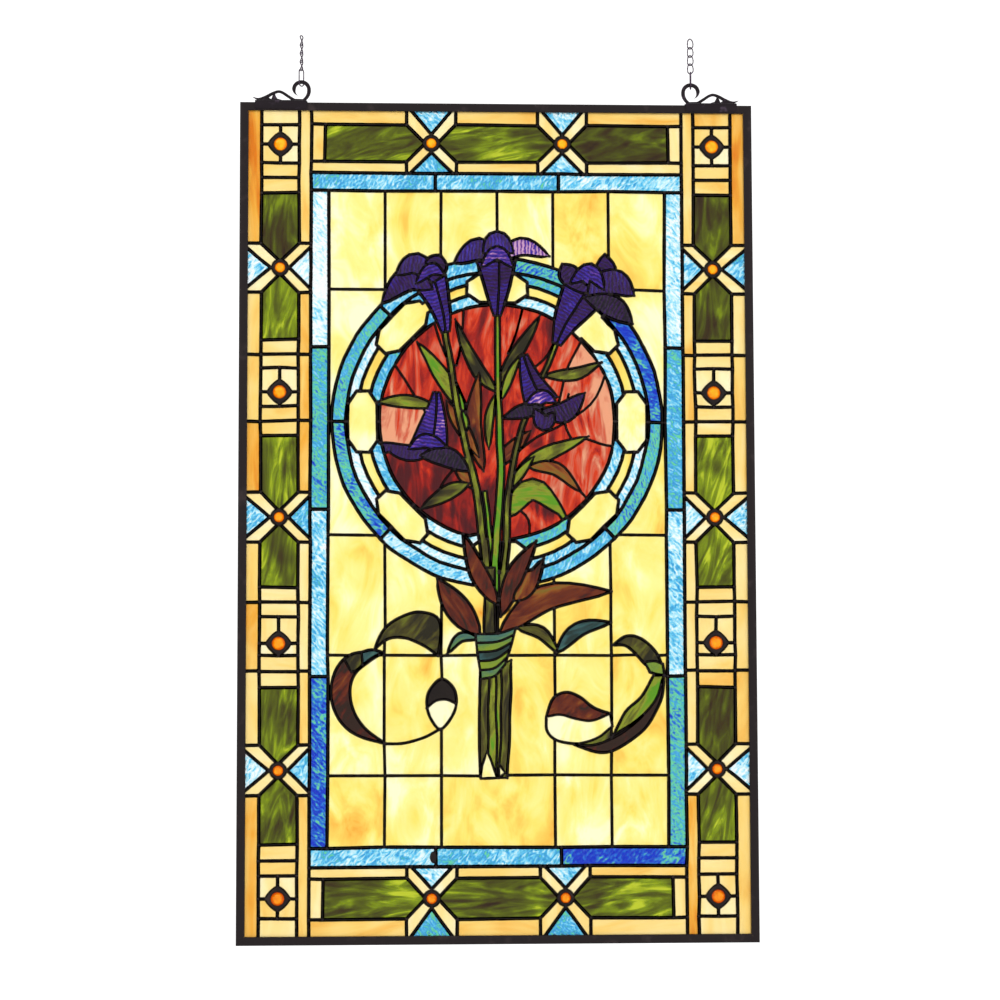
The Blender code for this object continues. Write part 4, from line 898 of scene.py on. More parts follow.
def sheet_glass(name, stops, stretch, scale, swirl, contrast, roughness, through, relief, relief_size):
    """stretch is how close the streaks lie across and along the grain; contrast is how far they leave the tone"""
    material, make, shader = new_material(name)
    grain = make.add("ShaderNodeUVMap", uv_map="grain").outputs[0]
    tone = make.add("ShaderNodeAttribute", attribute_name="tone").outputs["Fac"]
    streak_map = make.add("ShaderNodeMapping", {"Vector": grain, "Scale": (stretch[1], stretch[0], 1.0)}).outputs[0]
    streaks = make.add("ShaderNodeTexNoise", {"Vector": streak_map, "Scale": scale, "Detail": 4.0,
                                              "Roughness": 0.55, "Distortion": swirl}).outputs["Fac"]
    wide = make.add("ShaderNodeTexNoise", {"Vector": grain, "Scale": scale * 0.55, "Detail": 1.0,
                                           "Distortion": swirl * 0.5}).outputs["Fac"]
    mixed = make.math("ADD", make.math("MULTIPLY", streaks, 0.6), make.math("MULTIPLY", wide, 0.4))
    swing = make.math("MULTIPLY", make.math("SUBTRACT", mixed, 0.5), contrast * 3.2)
    colour = make.ramp(make.math("ADD", swing, tone, True), stops)
    bumps = make.add("ShaderNodeTexNoise", {"Vector": grain, "Scale": relief_size, "Detail": 2.0,
                                            "Distortion": 0.6}).outputs["Fac"]
    bump = make.add("ShaderNodeBump", {"Strength": relief, "Distance": 0.0012, "Height": bumps})
    make.tree.links.new(colour, shader.inputs["Base Color"])
    make.tree.links.new(bump.outputs[0], shader.inputs["Normal"])
    shader.inputs["Roughness"].default_value = roughness
    shader.inputs["Transmission Weight"].default_value = through
    shader.inputs["IOR"].default_value = 1.35
    shader.inputs["Specular IOR Level"].default_value = 0.1
    return material


print("glass recipe ready")

# %% Mix the glasses
GLASSES = {
    "cream": sheet_glass("glass cream opalescent", ((0.0, (255, 251, 210)), (0.25, (255, 243, 156)),
                         (0.55, (253, 229, 114)), (0.8, (248, 200, 84)), (1.0, (236, 150, 36))),
                         (1.0, 0.5), 1.3, 1.6, 0.72, 0.2, 0.5, 0.12, 6.0),
    "amber": sheet_glass("glass amber opalescent", ((0.0, (255, 246, 206)), (0.3, (254, 232, 162)),
                         (0.6, (250, 213, 118)), (0.85, (241, 176, 60)), (1.0, (224, 126, 16))),
                         (1.0, 0.22), 1.4, 1.6, 0.45, 0.2, 0.5, 0.12, 6.0),
    "green": sheet_glass("glass green streaky", ((0.0, (192, 204, 44)), (0.16, (132, 152, 8)),
                         (0.38, (92, 102, 3)), (0.6, (68, 68, 3)), (0.82, (56, 40, 3)), (1.0, (40, 20, 4))),
                         (2.0, 0.4), 1.5, 2.4, 0.85, 0.16, 0.6, 0.15, 7.0),
    "red": sheet_glass("glass red streaky", ((0.0, (234, 164, 126)), (0.2, (208, 110, 82)), (0.38, (216, 62, 24)),
                       (0.6, (168, 26, 10)), (0.82, (118, 14, 12)), (1.0, (78, 8, 16))),
                       (1.6, 0.45), 1.6, 2.0, 0.95, 0.16, 0.6, 0.15, 7.0),
    "leaf": sheet_glass("glass leaf green", ((0.0, (92, 152, 26)), (0.24, (142, 150, 40)), (0.5, (106, 112, 28)),
                        (0.75, (76, 70, 22)), (1.0, (38, 34, 14))),
                        (2.0, 0.5), 2.4, 1.4, 0.9, 0.16, 0.55, 0.15, 8.0),
    "brown": sheet_glass("glass brown streaky", ((0.0, (120, 108, 34)), (0.25, (146, 84, 26)), (0.5, (112, 46, 16)),
                         (0.78, (88, 26, 12)), (1.0, (46, 26, 16))),
                         (2.0, 0.5), 2.4, 1.8, 0.95, 0.16, 0.55, 0.15, 8.0),
    "teal": sheet_glass("glass teal streaky", ((0.0, (130, 150, 40)), (0.3, (104, 138, 60)), (0.6, (70, 112, 100)),
                        (0.85, (48, 84, 86)), (1.0, (34, 54, 50))), (2.0, 0.4), 2.6, 1.2, 0.7, 0.16, 0.55, 0.15, 8.0),
    "dark": sheet_glass("glass near black", ((0.0, (44, 34, 28)), (1.0, (12, 10, 12))),
                        (1.0, 1.0), 2.0, 1.0, 0.4, 0.1, 0.3, 0.1, 8.0),
}
print(len(GLASSES), "streaky glasses")

# %% [markdown]
# The blue and the violet glass have a drawn texture. Rippled blue has fine waves across the grain that
# catch the light. The violet has thin dark striations. Both come from a wave pattern that noise bends.

# %% Mix the rippled and the striated glass
def waved_glass(name, stops, pitch, bend, contrast, line_weight, crease, roughness, through, relief, blotch=0.8):
    """pitch is how the waves are turned against the grain, and how close they lie; crease weighs the wrinkles"""
    material, make, shader = new_material(name)
    grain = make.add("ShaderNodeUVMap", uv_map="grain").outputs[0]
    tone = make.add("ShaderNodeAttribute", attribute_name="tone").outputs["Fac"]
    turned = make.add("ShaderNodeMapping", {"Vector": grain, "Rotation": (0.0, 0.0, pitch[0])}).outputs[0]
    wave = make.add("ShaderNodeTexWave", {"Vector": turned, "Scale": pitch[1], "Distortion": bend, "Detail": 2.0,
                                          "Detail Scale": 1.6, "Detail Roughness": 0.55},
                    wave_type="BANDS", bands_direction="X").outputs["Fac"]
    drift = make.add("ShaderNodeTexNoise", {"Vector": grain, "Scale": blotch, "Detail": 2.0,
                                            "Distortion": 0.8}).outputs["Fac"]
    swing = make.math("MULTIPLY", make.math("SUBTRACT", drift, 0.5), contrast * 2)
    squeezed = make.add("ShaderNodeMapping", {"Vector": turned, "Scale": (1.7, 0.8, 1.0)}).outputs[0]
    wrinkles = make.add("ShaderNodeTexNoise", {"Vector": squeezed, "Scale": 6.0, "Detail": 3.0, "Roughness": 0.5,
                                               "Distortion": 1.6}).outputs["Fac"]
    lines = make.math("ADD", make.math("MULTIPLY", make.math("SUBTRACT", wave, 0.5), line_weight),
                      make.math("MULTIPLY", make.math("SUBTRACT", wrinkles, 0.5), crease * 3))
    colour = make.ramp(make.math("ADD", make.math("ADD", swing, lines), tone, True), stops)
    bump = make.add("ShaderNodeBump", {"Strength": relief, "Distance": 0.0015, "Height": wave})
    make.tree.links.new(colour, shader.inputs["Base Color"])
    make.tree.links.new(bump.outputs[0], shader.inputs["Normal"])
    shader.inputs["Roughness"].default_value = roughness
    shader.inputs["Transmission Weight"].default_value = through
    shader.inputs["IOR"].default_value = 1.35
    shader.inputs["Specular IOR Level"].default_value = 0.1
    return material


GLASSES["blue"] = waved_glass("glass blue rippled", ((0.0, (246, 253, 255)), (0.16, (190, 238, 250)),
                              (0.34, (98, 200, 236)), (0.5, (48, 150, 214)), (0.6, (90, 200, 190)),
                              (0.7, (116, 212, 140)), (0.8, (44, 134, 214)), (1.0, (10, 52, 196))),
                              (0.7, 4.0), 7.0, 0.34, 0.12, 0.42, 0.12, 0.7, 0.5, 1.1)
GLASSES["violet"] = waved_glass("glass violet striated", ((0.0, (206, 160, 200)), (0.12, (118, 60, 142)),
                                (0.28, (52, 38, 166)), (0.5, (46, 12, 104)), (0.76, (46, 5, 68)),
                                (1.0, (14, 3, 24))), (0.0, 4.4), 5.0, 0.4, 0.36, 0.24, 0.14, 0.6, 0.45, 1.4)
for (sheet, glass), obj in pane_objects.items():
    obj.data.materials.append(GLASSES[glass])
print(len(GLASSES), "glasses in use")

# %% [markdown]
# ## Metals and jewels
# The solder and the frame were blackened with patina, which wears a little where hands and cloths rub.
# Jewels are pressed faceted glass, clear all through. Their colour is a painted glow: yellow in the middle and
# deeper orange towards the rim, where light would run a longer way through them, so each point of a jewel keeps
# how near the rim it is in an attribute.

# %% Mix the metals and the jewel glass
def patina(name, dark, light, metallic, roughness, scale, relief):
    material, make, shader = new_material(name)
    place = make.add("ShaderNodeTexCoord").outputs["Object"]
    cloud = make.add("ShaderNodeTexNoise", {"Vector": place, "Scale": scale, "Detail": 5.0,
                                            "Roughness": 0.6}).outputs["Fac"]
    fine = make.add("ShaderNodeTexNoise", {"Vector": place, "Scale": scale * 9, "Detail": 3.0}).outputs["Fac"]
    colour = make.ramp(cloud, ((0.3, dark), (0.56, dark), (0.8, light)))
    rough = make.math("ADD", make.math("MULTIPLY", make.math("SUBTRACT", fine, 0.5), 0.3), roughness)
    bump = make.add("ShaderNodeBump", {"Strength": relief, "Distance": 0.0004, "Height": fine})
    make.tree.links.new(colour, shader.inputs["Base Color"])
    make.tree.links.new(rough, shader.inputs["Roughness"])
    make.tree.links.new(bump.outputs[0], shader.inputs["Normal"])
    shader.inputs["Metallic"].default_value = metallic
    return material


SOLDER = patina("solder with black patina", (24, 15, 15), (50, 38, 34), 0.7, 0.42, 60.0, 0.35)
FRAME_METAL = patina("bronze channel", (32, 26, 27), (60, 50, 50), 0.8, 0.45, 45.0, 0.25)
# The hanger bronze's light colour is partly worn patina and partly painted highlight: violet-grey patches, scattered by
# noise, that stand in for light on the casting.
CAST_PATINA_AND_SHEEN = patina("cast hanger bronze with painted sheen", (31, 25, 29), (88, 74, 92), 0.85, 0.42, 110.0, 0.5)
CHAIN_METAL = patina("chain bronze plating", (60, 48, 62), (118, 104, 122), 0.9, 0.3, 140.0, 0.2)


def pressed_glass(name, stops, pit_size, pit_depth):
    """clear tinted glass with the soft pits that a press leaves; a painted glow, yellow in the middle and deeper orange
    towards the rim
    """
    material, make, shader = new_material(name)
    place = make.add("ShaderNodeTexCoord").outputs["Object"]
    rim = make.add("ShaderNodeAttribute", attribute_name="rim").outputs["Fac"]
    pits = make.add("ShaderNodeTexNoise", {"Vector": place, "Scale": pit_size, "Detail": 2.0}).outputs["Fac"]
    painted_glow_and_pits = make.math("ADD", rim, make.math("MULTIPLY", make.math("SUBTRACT", pits, 0.5), 0.7), True)
    bump = make.add("ShaderNodeBump", {"Strength": pit_depth, "Distance": 0.0006, "Height": pits})
    make.tree.links.new(make.ramp(painted_glow_and_pits, stops), shader.inputs["Base Color"])
    make.tree.links.new(bump.outputs[0], shader.inputs["Normal"])
    shader.inputs["Roughness"].default_value = 0.03
    shader.inputs["Transmission Weight"].default_value = 0.95
    shader.inputs["IOR"].default_value = 1.3
    return material


# Painted glow: yellow at a jewel's middle and deeper orange at its rim, standing in for light passing through the
# jewel.
JEWEL_GLASS = pressed_glass("jewel amber glass", ((0.2, (255, 208, 32)), (0.6, (248, 152, 2)), (1.0, (200, 72, 0))),
                            260.0, 0.35)
print("metals and jewel glass ready")

# %% [markdown]
# ## Solder beads
# A solder bead follows every seam, so Geometry Nodes make them. The seams go in as bare edges that lie
# flat, with a mark on each point where a bead begins, ends or forks. The tree turns the edges into curves,
# sweeps a half round section along them, whose size wanders a little as it does under a hand-held iron,
# and sets a round blob on each mark.

# %% Collect the seams
PICTURE_SHEETS = ("glass_ground_and_leaves", "glass_scroll_left", "glass_scroll_right", "glass_binding",
                  "glass_stem_ends")


def seam_mesh(name):
    """all edges between panes, cut to short lengths, with forks and corners marked"""
    edges = set()
    for group in pane_groups:
        for a, b in plane.border(group):
            if (b, a) in plane.triangle_at:
                edges.add((min(a, b), max(a, b)))
    beside = {}
    for a, b in edges:
        beside.setdefault(a, []).append(b)
        beside.setdefault(b, []).append(a)
    index = {key: i for i, key in enumerate(sorted(beside))}

    def girth(a, b):
        """how thick a seam's bead is: fine inside the picture, a little finer than the border's in the field"""
        sheets = [cartoon[plane.shows[plane.triangle_at[edge]]]["sheet"] or "" for edge in ((a, b), (b, a))]
        picture = [sheet in PICTURE_SHEETS or "flower" in sheet for sheet in sheets]
        field = ["field" in sheet or inside for sheet, inside in zip(sheets, picture)]
        return 0.72 if all(picture) else 0.86 if all(field) else 1.0

    girths = {key: min(girth(key, other) for other in beside[key]) for key in beside}
    points = [plane.points[key] for key in sorted(beside)]
    marks = []
    for key in sorted(beside):
        others = beside[key]
        straight = False
        if len(others) == 2:
            one, two = ((plane.points[i] - plane.points[key]).normalized() for i in others)
            straight = one.dot(two) < -0.9
        marks.append(not straight)
    sizes = [girths[key] for key in sorted(beside)]
    lines = []
    for a, b in sorted(edges):
        count = max(1, round((plane.points[a] - plane.points[b]).length / 0.006))
        previous = index[a]
        for i in range(1, count):
            points.append(plane.points[a].lerp(plane.points[b], i / count))
            marks.append(False)
            sizes.append(girth(a, b))
            lines.append((previous, len(points) - 1))
            previous = len(points) - 1
        lines.append((previous, index[b]))
    mesh = bpy.data.meshes.new(name)
    mesh.from_pydata([(point.x, point.y, 0.0) for point in points], lines, [])
    mesh.attributes.new("mark", "BOOLEAN", "POINT").data.foreach_set("value", marks)
    mesh.attributes.new("girth", "FLOAT", "POINT").data.foreach_set("value", sizes)
    total = sum((points[a] - points[b]).length for a, b in lines)
    print(len(lines), "lengths,", round(total, 1), "m of seam,", sum(marks), "marks")
    return mesh


seams = seam_mesh("seams")

# %% Build the bead tree
def new_tree(name, sockets):
    """an empty geometry tree with named inputs"""
    tree = bpy.data.node_groups.new(name, "GeometryNodeTree")
    tree.interface.new_socket(name="Geometry", in_out="OUTPUT", socket_type="NodeSocketGeometry")
    for socket, kind in sockets:
        tree.interface.new_socket(name=socket, in_out="INPUT", socket_type="NodeSocket" + kind)
    make = Nodes(tree)
    return tree, make, make.add("NodeGroupInput").outputs


def bead_tree():
    tree, make, given = new_tree("solder bead", (("Geometry", "Geometry"), ("Width", "Float"), ("Rise", "Float"),
                                                 ("Wander", "Float"), ("Seed", "Float"), ("Material", "Material")))
    place = make.add("GeometryNodeInputPosition").outputs[0]
    noise = make.add("ShaderNodeTexNoise", {"Vector": place, "W": given["Seed"], "Scale": 130.0, "Detail": 1.0},
                     noise_dimensions="4D").outputs["Fac"]
    size = make.math("ADD", make.math("MULTIPLY", make.math("SUBTRACT", noise, 0.5), given["Wander"]), 1.0)
    girth_here = make.add("GeometryNodeInputNamedAttribute", {"Name": "girth"}, data_type="FLOAT").outputs[0]
    size = make.math("MULTIPLY", size, girth_here)
    half = make.math("MULTIPLY", given["Width"], 0.5)
    curve = make.add("GeometryNodeMeshToCurve", {"Mesh": given["Geometry"]}).outputs[0]
    level = make.add("GeometryNodeSetCurveNormal", {"Curve": curve}, mode="Z_UP").outputs[0]
    ring = make.add("GeometryNodeCurvePrimitiveCircle", {"Resolution": 8, "Radius": 1.0}).outputs["Curve"]
    parts = make.add("ShaderNodeSeparateXYZ", {0: place}).outputs
    section = make.add("ShaderNodeCombineXYZ", {0: make.math("MULTIPLY", parts[0], half),
                                                1: make.math("MULTIPLY", make.math("MAXIMUM", parts[1], 0.0),
                                                             given["Rise"])}).outputs[0]
    profile = make.add("GeometryNodeSetPosition", {"Geometry": ring, "Position": section}).outputs[0]
    beads = make.add("GeometryNodeCurveToMesh", {"Curve": level, "Profile Curve": profile, "Scale": size,
                                                 "Fill Caps": True}).outputs[0]
    ball = make.add("GeometryNodeMeshUVSphere", {"Segments": 8, "Rings": 4, "Radius": 1.0}).outputs["Mesh"]
    girth = make.math("MULTIPLY", half, 1.03)
    dome = make.add("ShaderNodeCombineXYZ", {0: make.math("MULTIPLY", parts[0], girth),
                                             1: make.math("MULTIPLY", parts[1], girth),
                                             2: make.math("MULTIPLY", make.math("MAXIMUM", parts[2], 0.0),
                                                          given["Rise"])}).outputs[0]
    blob = make.add("GeometryNodeSetPosition", {"Geometry": ball, "Position": dome}).outputs[0]
    mark = make.add("GeometryNodeInputNamedAttribute", {"Name": "mark"}, data_type="BOOLEAN").outputs[0]
    blobs = make.add("GeometryNodeInstanceOnPoints", {"Points": given["Geometry"], "Selection": mark,
                                                      "Instance": blob, "Scale": girth_here}).outputs[0]
    joined = make.add("GeometryNodeJoinGeometry", {"Geometry": beads})
    tree.links.new(blobs, joined.inputs["Geometry"])
    real = make.add("GeometryNodeRealizeInstances", {"Geometry": joined.outputs[0]}).outputs[0]
    soft = make.add("GeometryNodeSetShadeSmooth", {"Geometry": real}).outputs[0]
    done = make.add("GeometryNodeSetMaterial", {"Geometry": soft, "Material": given["Material"]}).outputs[0]
    make.add("NodeGroupOutput", {"Geometry": done})
    return tree


def grown(name, base_mesh, tree, values):
    """runs a tree on a mesh and returns the result as a plain mesh"""
    carrier = bpy.data.objects.new(name + "_carrier", base_mesh)
    bpy.context.scene.collection.objects.link(carrier)
    modifier = carrier.modifiers.new("grow", "NODES")
    modifier.node_group = tree
    for socket in tree.interface.items_tree:
        if socket.in_out == "INPUT" and socket.name in values:
            modifier[socket.identifier] = values[socket.name]
    result = bpy.data.meshes.new_from_object(carrier.evaluated_get(bpy.context.evaluated_depsgraph_get()))
    bpy.data.objects.remove(carrier)
    result.name = name
    return result


def stand_up(mesh, level, facing):
    """turns a flat mesh upright on a face of the glass; facing is -1 for the front and 1 for the back"""
    mesh.transform(Matrix(((1, 0, 0, 0), (0, 0, facing, level), (0, 1, 0, PANEL_TOP), (0, 0, 0, 1))))
    if facing > 0:
        mesh.flip_normals()
    return mesh


BEADS = bead_tree()
beads = {}
for word, facing, level, reach, seed in (("front", -1, GLASS_FRONT, SOLDER_FRONT, 1.0),
                                         ("back", 1, GLASS_BACK, SOLDER_BACK, 9.0)):
    mesh = grown("solder_" + word, seams, BEADS, {"Width": SOLDER_WIDTH, "Rise": abs(reach - level) * 0.96,
                                                  "Wander": 0.34, "Seed": seed, "Material": SOLDER})
    beads[word] = bpy.data.objects.new("solder_" + word, stand_up(mesh, level, facing))
    bpy.context.scene.collection.objects.link(beads[word])
    print("solder", word, len(mesh.polygons), "faces")

# %% [markdown]
# ## Jewels in their seats
# A jewel is a round glass button, pressed with facets: a flat table, a crown of kites and triangles, a
# narrow girdle and a shallow back. It sits in a diamond of solder, domed like a cushion, that
# runs out into the seams.

# %% Cut the jewels and heap the solder round them
def solid(name, points, faces, material, smooth=None):
    """a closed mesh object with its faces turned outwards; smooth is the angle where edges stay sharp"""
    mesh = bpy.data.meshes.new(name)
    mesh.from_pydata(points, [], faces)
    shell = bmesh.new()
    shell.from_mesh(mesh)
    bmesh.ops.recalc_face_normals(shell, faces=shell.faces)
    shell.to_mesh(mesh)
    shell.free()
    if smooth is not None:
        mesh.shade_smooth()
        mesh.set_sharp_from_angle(angle=math.radians(smooth))
    mesh.materials.append(material)
    obj = bpy.data.objects.new(name, mesh)
    bpy.context.scene.collection.objects.link(obj)
    return obj


def turned_point(centre, radius, turn, depth):
    angle = math.radians(turn)
    return (centre.x + radius * math.cos(angle), depth, PANEL_TOP + centre.y + radius * math.sin(angle))


def faceted(points, faces, centre, radius, girdle, table, share):
    """one side of a jewel, from its girdle up to its table, in 8-fold facets"""
    first = len(points)
    middle = girdle + (table - girdle) * 0.62
    points += [turned_point(centre, radius * share, 45 * i, table) for i in range(8)]
    points += [turned_point(centre, radius * 0.84, 45 * i + 22.5, middle) for i in range(8)]
    points += [turned_point(centre, radius, 22.5 * i, girdle) for i in range(16)]
    star, kite, rim = first, first + 8, first + 16
    faces.append([star + i for i in range(8)])
    for i in range(8):
        after = (i + 1) % 8
        faces.append((star + i, star + after, kite + i))
        faces.append((star + after, kite + i, rim + (2 * i + 2) % 16, kite + after))
        faces.append((kite + i, rim + 2 * i, rim + 2 * i + 1))
        faces.append((kite + i, rim + 2 * i + 1, rim + (2 * i + 2) % 16))
    return rim


jewel_objects = []
for node, centre, radius in jewels:
    low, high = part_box(node)
    points, faces = [], []
    girdle = radius - 0.0003
    front = faceted(points, faces, centre, girdle, GLASS_FRONT - 0.0002, low[1], 0.5)
    back = faceted(points, faces, centre, girdle, GLASS_FRONT + 0.0006, GLASS_FRONT + 0.0016, 0.6)
    faces += [(front + i, front + (i + 1) % 16, back + (i + 1) % 16, back + i) for i in range(16)]
    jewel = solid(node + "_cut", points, faces, JEWEL_GLASS)
    # Painted glow: how near the rim each point lies picks its colour, and jewels lower on the panel are painted a
    # deeper orange.
    middle = Vector((centre.x, PANEL_TOP + centre.y))
    deeper = -0.3 * centre.y / PANEL_HEIGHT
    painted_glow = [((Vector((vert.co.x, vert.co.z)) - middle).length / girdle) ** 1.5 + deeper
                for vert in jewel.data.vertices]
    jewel.data.attributes.new("rim", "FLOAT", "POINT").data.foreach_set("value", painted_glow)
    jewel_objects.append((node, jewel))


def seats(name, level, facing, rise, steps=32):
    """the cushions of solder round the jewels on one face of the glass"""
    points, faces = [], []
    profile = ((0.0, -0.3), (0.0, 0.75), (0.12, 1.0), (0.4, 0.95), (0.72, 0.66), (0.93, 0.3), (1.0, -0.1))
    for _, centre, radius in jewels:
        first = len(points)
        for share, height in profile:
            for i in range(steps):
                turn = math.radians(360 * i / steps)
                outer = seat_reach(radius, turn, 0.0009)
                reach = radius - 0.0004 + (outer - radius + 0.0004) * share
                points.append(turned_point(centre, reach, 360 * i / steps, level + facing * rise * height))
        rings = len(profile)
        for ring in range(rings):
            for i in range(steps):
                a, b = first + ring * steps, first + (ring + 1) % rings * steps
                faces.append((a + i, a + (i + 1) % steps, b + (i + 1) % steps, b + i))
    if facing < 0:
        drop = Vector((-0.0634, (BAND_FOOT + FIELD_FOOT) / 2))
        first = len(points)
        for tilt in (0.0, 0.55, 1.0, 1.35):
            for i in range(16):
                turn = 2 * math.pi * i / 16
                points.append((drop.x + 0.0034 * math.cos(tilt) * math.cos(turn), level - rise * 1.1 * math.sin(tilt),
                               PANEL_TOP + drop.y + 0.0058 * math.cos(tilt) * math.sin(turn)))
        for ring in range(3):
            a, b = first + ring * 16, first + ring * 16 + 16
            faces += [(a + i, a + (i + 1) % 16, b + (i + 1) % 16, b + i) for i in range(16)]
        faces += [[first + i for i in range(16)], [first + 48 + i for i in range(16)]]
    return solid(name, points, faces, SOLDER, 50)


front_seats = seats("jewel_seats_front", GLASS_FRONT, -1, 0.0014)
back_seats = seats("jewel_seats_back", GLASS_BACK, 1, 0.0009)
print(len(jewel_objects), "jewels")

# %% [markdown]
# ## The frame
# The channel is drawn once as a section, with a rounded outer corner, a slightly crowned face, a thin lip
# that turns in and the hollow that grips the glass. Each of the four lengths is that section between two
# mitred ends.

# %% Draw the channel and fit its four lengths
def channel_section():
    front, back, wall = FRAME_FRONT, FRAME_BACK, FRAME_WALL
    outer = [(0.0, front + 0.0018), (0.0002, front + 0.0009), (0.0008, front + 0.0003), (0.0018, front + 0.0001),
             (0.0042, front), (0.0066, front + 0.0001), (0.0078, front + 0.0003), (0.0083, front + 0.0006),
             (FRAME_FACE, front + wall)]
    hollow = [(0.0015, front + wall), (0.0015, back - wall)]
    rear = [(FRAME_FACE, back - wall), (0.0083, back - 0.0004), (0.0078, back - 0.0001), (0.0066, back),
            (0.0018, back - 0.0001), (0.0008, back - 0.0004), (0.0002, back - 0.001), (0.0, back - 0.0018)]
    return outer + hollow + rear


frame_pieces = []
for word, turn in (("top", 0), ("right", 1), ("bottom", 2), ("left", 3)):
    half, reach = (PANEL_WIDTH / 2, PANEL_HEIGHT / 2) if turn % 2 == 0 else (PANEL_HEIGHT / 2, PANEL_WIDTH / 2)
    section = channel_section()
    spin = Matrix.Rotation(turn * math.pi / 2, 4, "Y")
    middle = Vector((0.0, 0.0, PANEL_TOP - PANEL_HEIGHT / 2))
    points = [middle + spin @ Vector((side * (half - depth - 0.00004), y, reach - depth))
              for side in (-1, 1) for depth, y in section]
    count = len(section)
    faces = [tuple(range(count)), tuple(range(2 * count - 1, count - 1, -1))]
    faces += [(i, i + count, (i + 1) % count + count, (i + 1) % count) for i in range(count)]
    frame_pieces.append(("frame_" + word, solid("channel_" + word, points, faces, FRAME_METAL, 35)))
print(len(frame_pieces), "lengths of channel")

# %% [markdown]
# ## The hangers
# Each hanger is one casting. A ribbon rises from its tail over a low wave, dips to the frame and curls up
# into an open eye. It is lofted here from rounded sections along its centre line, thick where it stands
# on its foot and thin at both tips.

# %% Cast the hangers
HANGER_INSET = 0.0603
HANGER_HALF = 0.00195
HANGER_WAVE = ((-48.1, 5.6, 0.1), (-42.3, 3.6, 0.6), (-35.3, 5.4, 0.9), (-28.9, 9.0, 0.8), (-22.9, 11.2, 0.72),
               (-18.3, 10.0, 0.72), (-12.8, 6.4, 0.75), (-6.5, 2.6, 0.8))
HANGER_MIDDLE = (FRAME_FRONT + FRAME_BACK) / 2


def lofted(points, faces, route, depth, place, sides=12):
    """a ribbon with a rounded section along a route of (point, half width), closed at both tips"""
    first = len(points)
    for i, (centre, half) in enumerate(route):
        along = (route[min(i + 1, len(route) - 1)][0] - route[max(i - 1, 0)][0]).normalized()
        across = Vector((-along.y, along.x))
        for k in range(sides):
            turn = 2 * math.pi * (k + 0.5) / sides
            wide, deep = (math.copysign(abs(f(turn)) ** 0.7, f(turn)) for f in (math.cos, math.sin))
            spot_2d = centre + across * half * wide
            points.append(place(spot_2d.x, depth * deep * min(1.0, 0.45 + half / HANGER_HALF * 0.6), spot_2d.y))
    for i in range(len(route) - 1):
        for k in range(sides):
            a, b = first + i * sides, first + (i + 1) * sides
            faces.append((a + k, a + (k + 1) % sides, b + (k + 1) % sides, b + k))
    faces.append([first + k for k in range(sides)])
    faces.append([first + (len(route) - 1) * sides + k for k in range(sides)])


def hanger_route():
    wave = smooth([Vector((x, z)) * MM for x, z, _ in HANGER_WAVE] + [Vector((0.0005, 0.0013))], 4)[:-4]
    shares = [share for _, _, share in HANGER_WAVE]
    route = []
    for i, point in enumerate(wave):
        at = min(i / 4, len(shares) - 1.001)
        share = shares[int(at)] + (shares[int(at) + 1] - shares[int(at)]) * (at % 1)
        route.append((Vector(point), HANGER_HALF * share))
    for i in range(31):
        share = i / 30
        turn = math.radians(-82 + 322 * share)
        radius = 0.0075 * (1 + 0.5 * max(0.0, 1 - 3.4 * share) ** 2 - 0.2 * max(0.0, share - 0.7))
        half = HANGER_HALF * (min(1.0, 0.8 + share) if share < 0.8 else max(0.06, (1 - share) / 0.2))
        route.append((Vector((0, 0.0135)) + radius * Vector((math.cos(turn), math.sin(turn))), half))
    return route


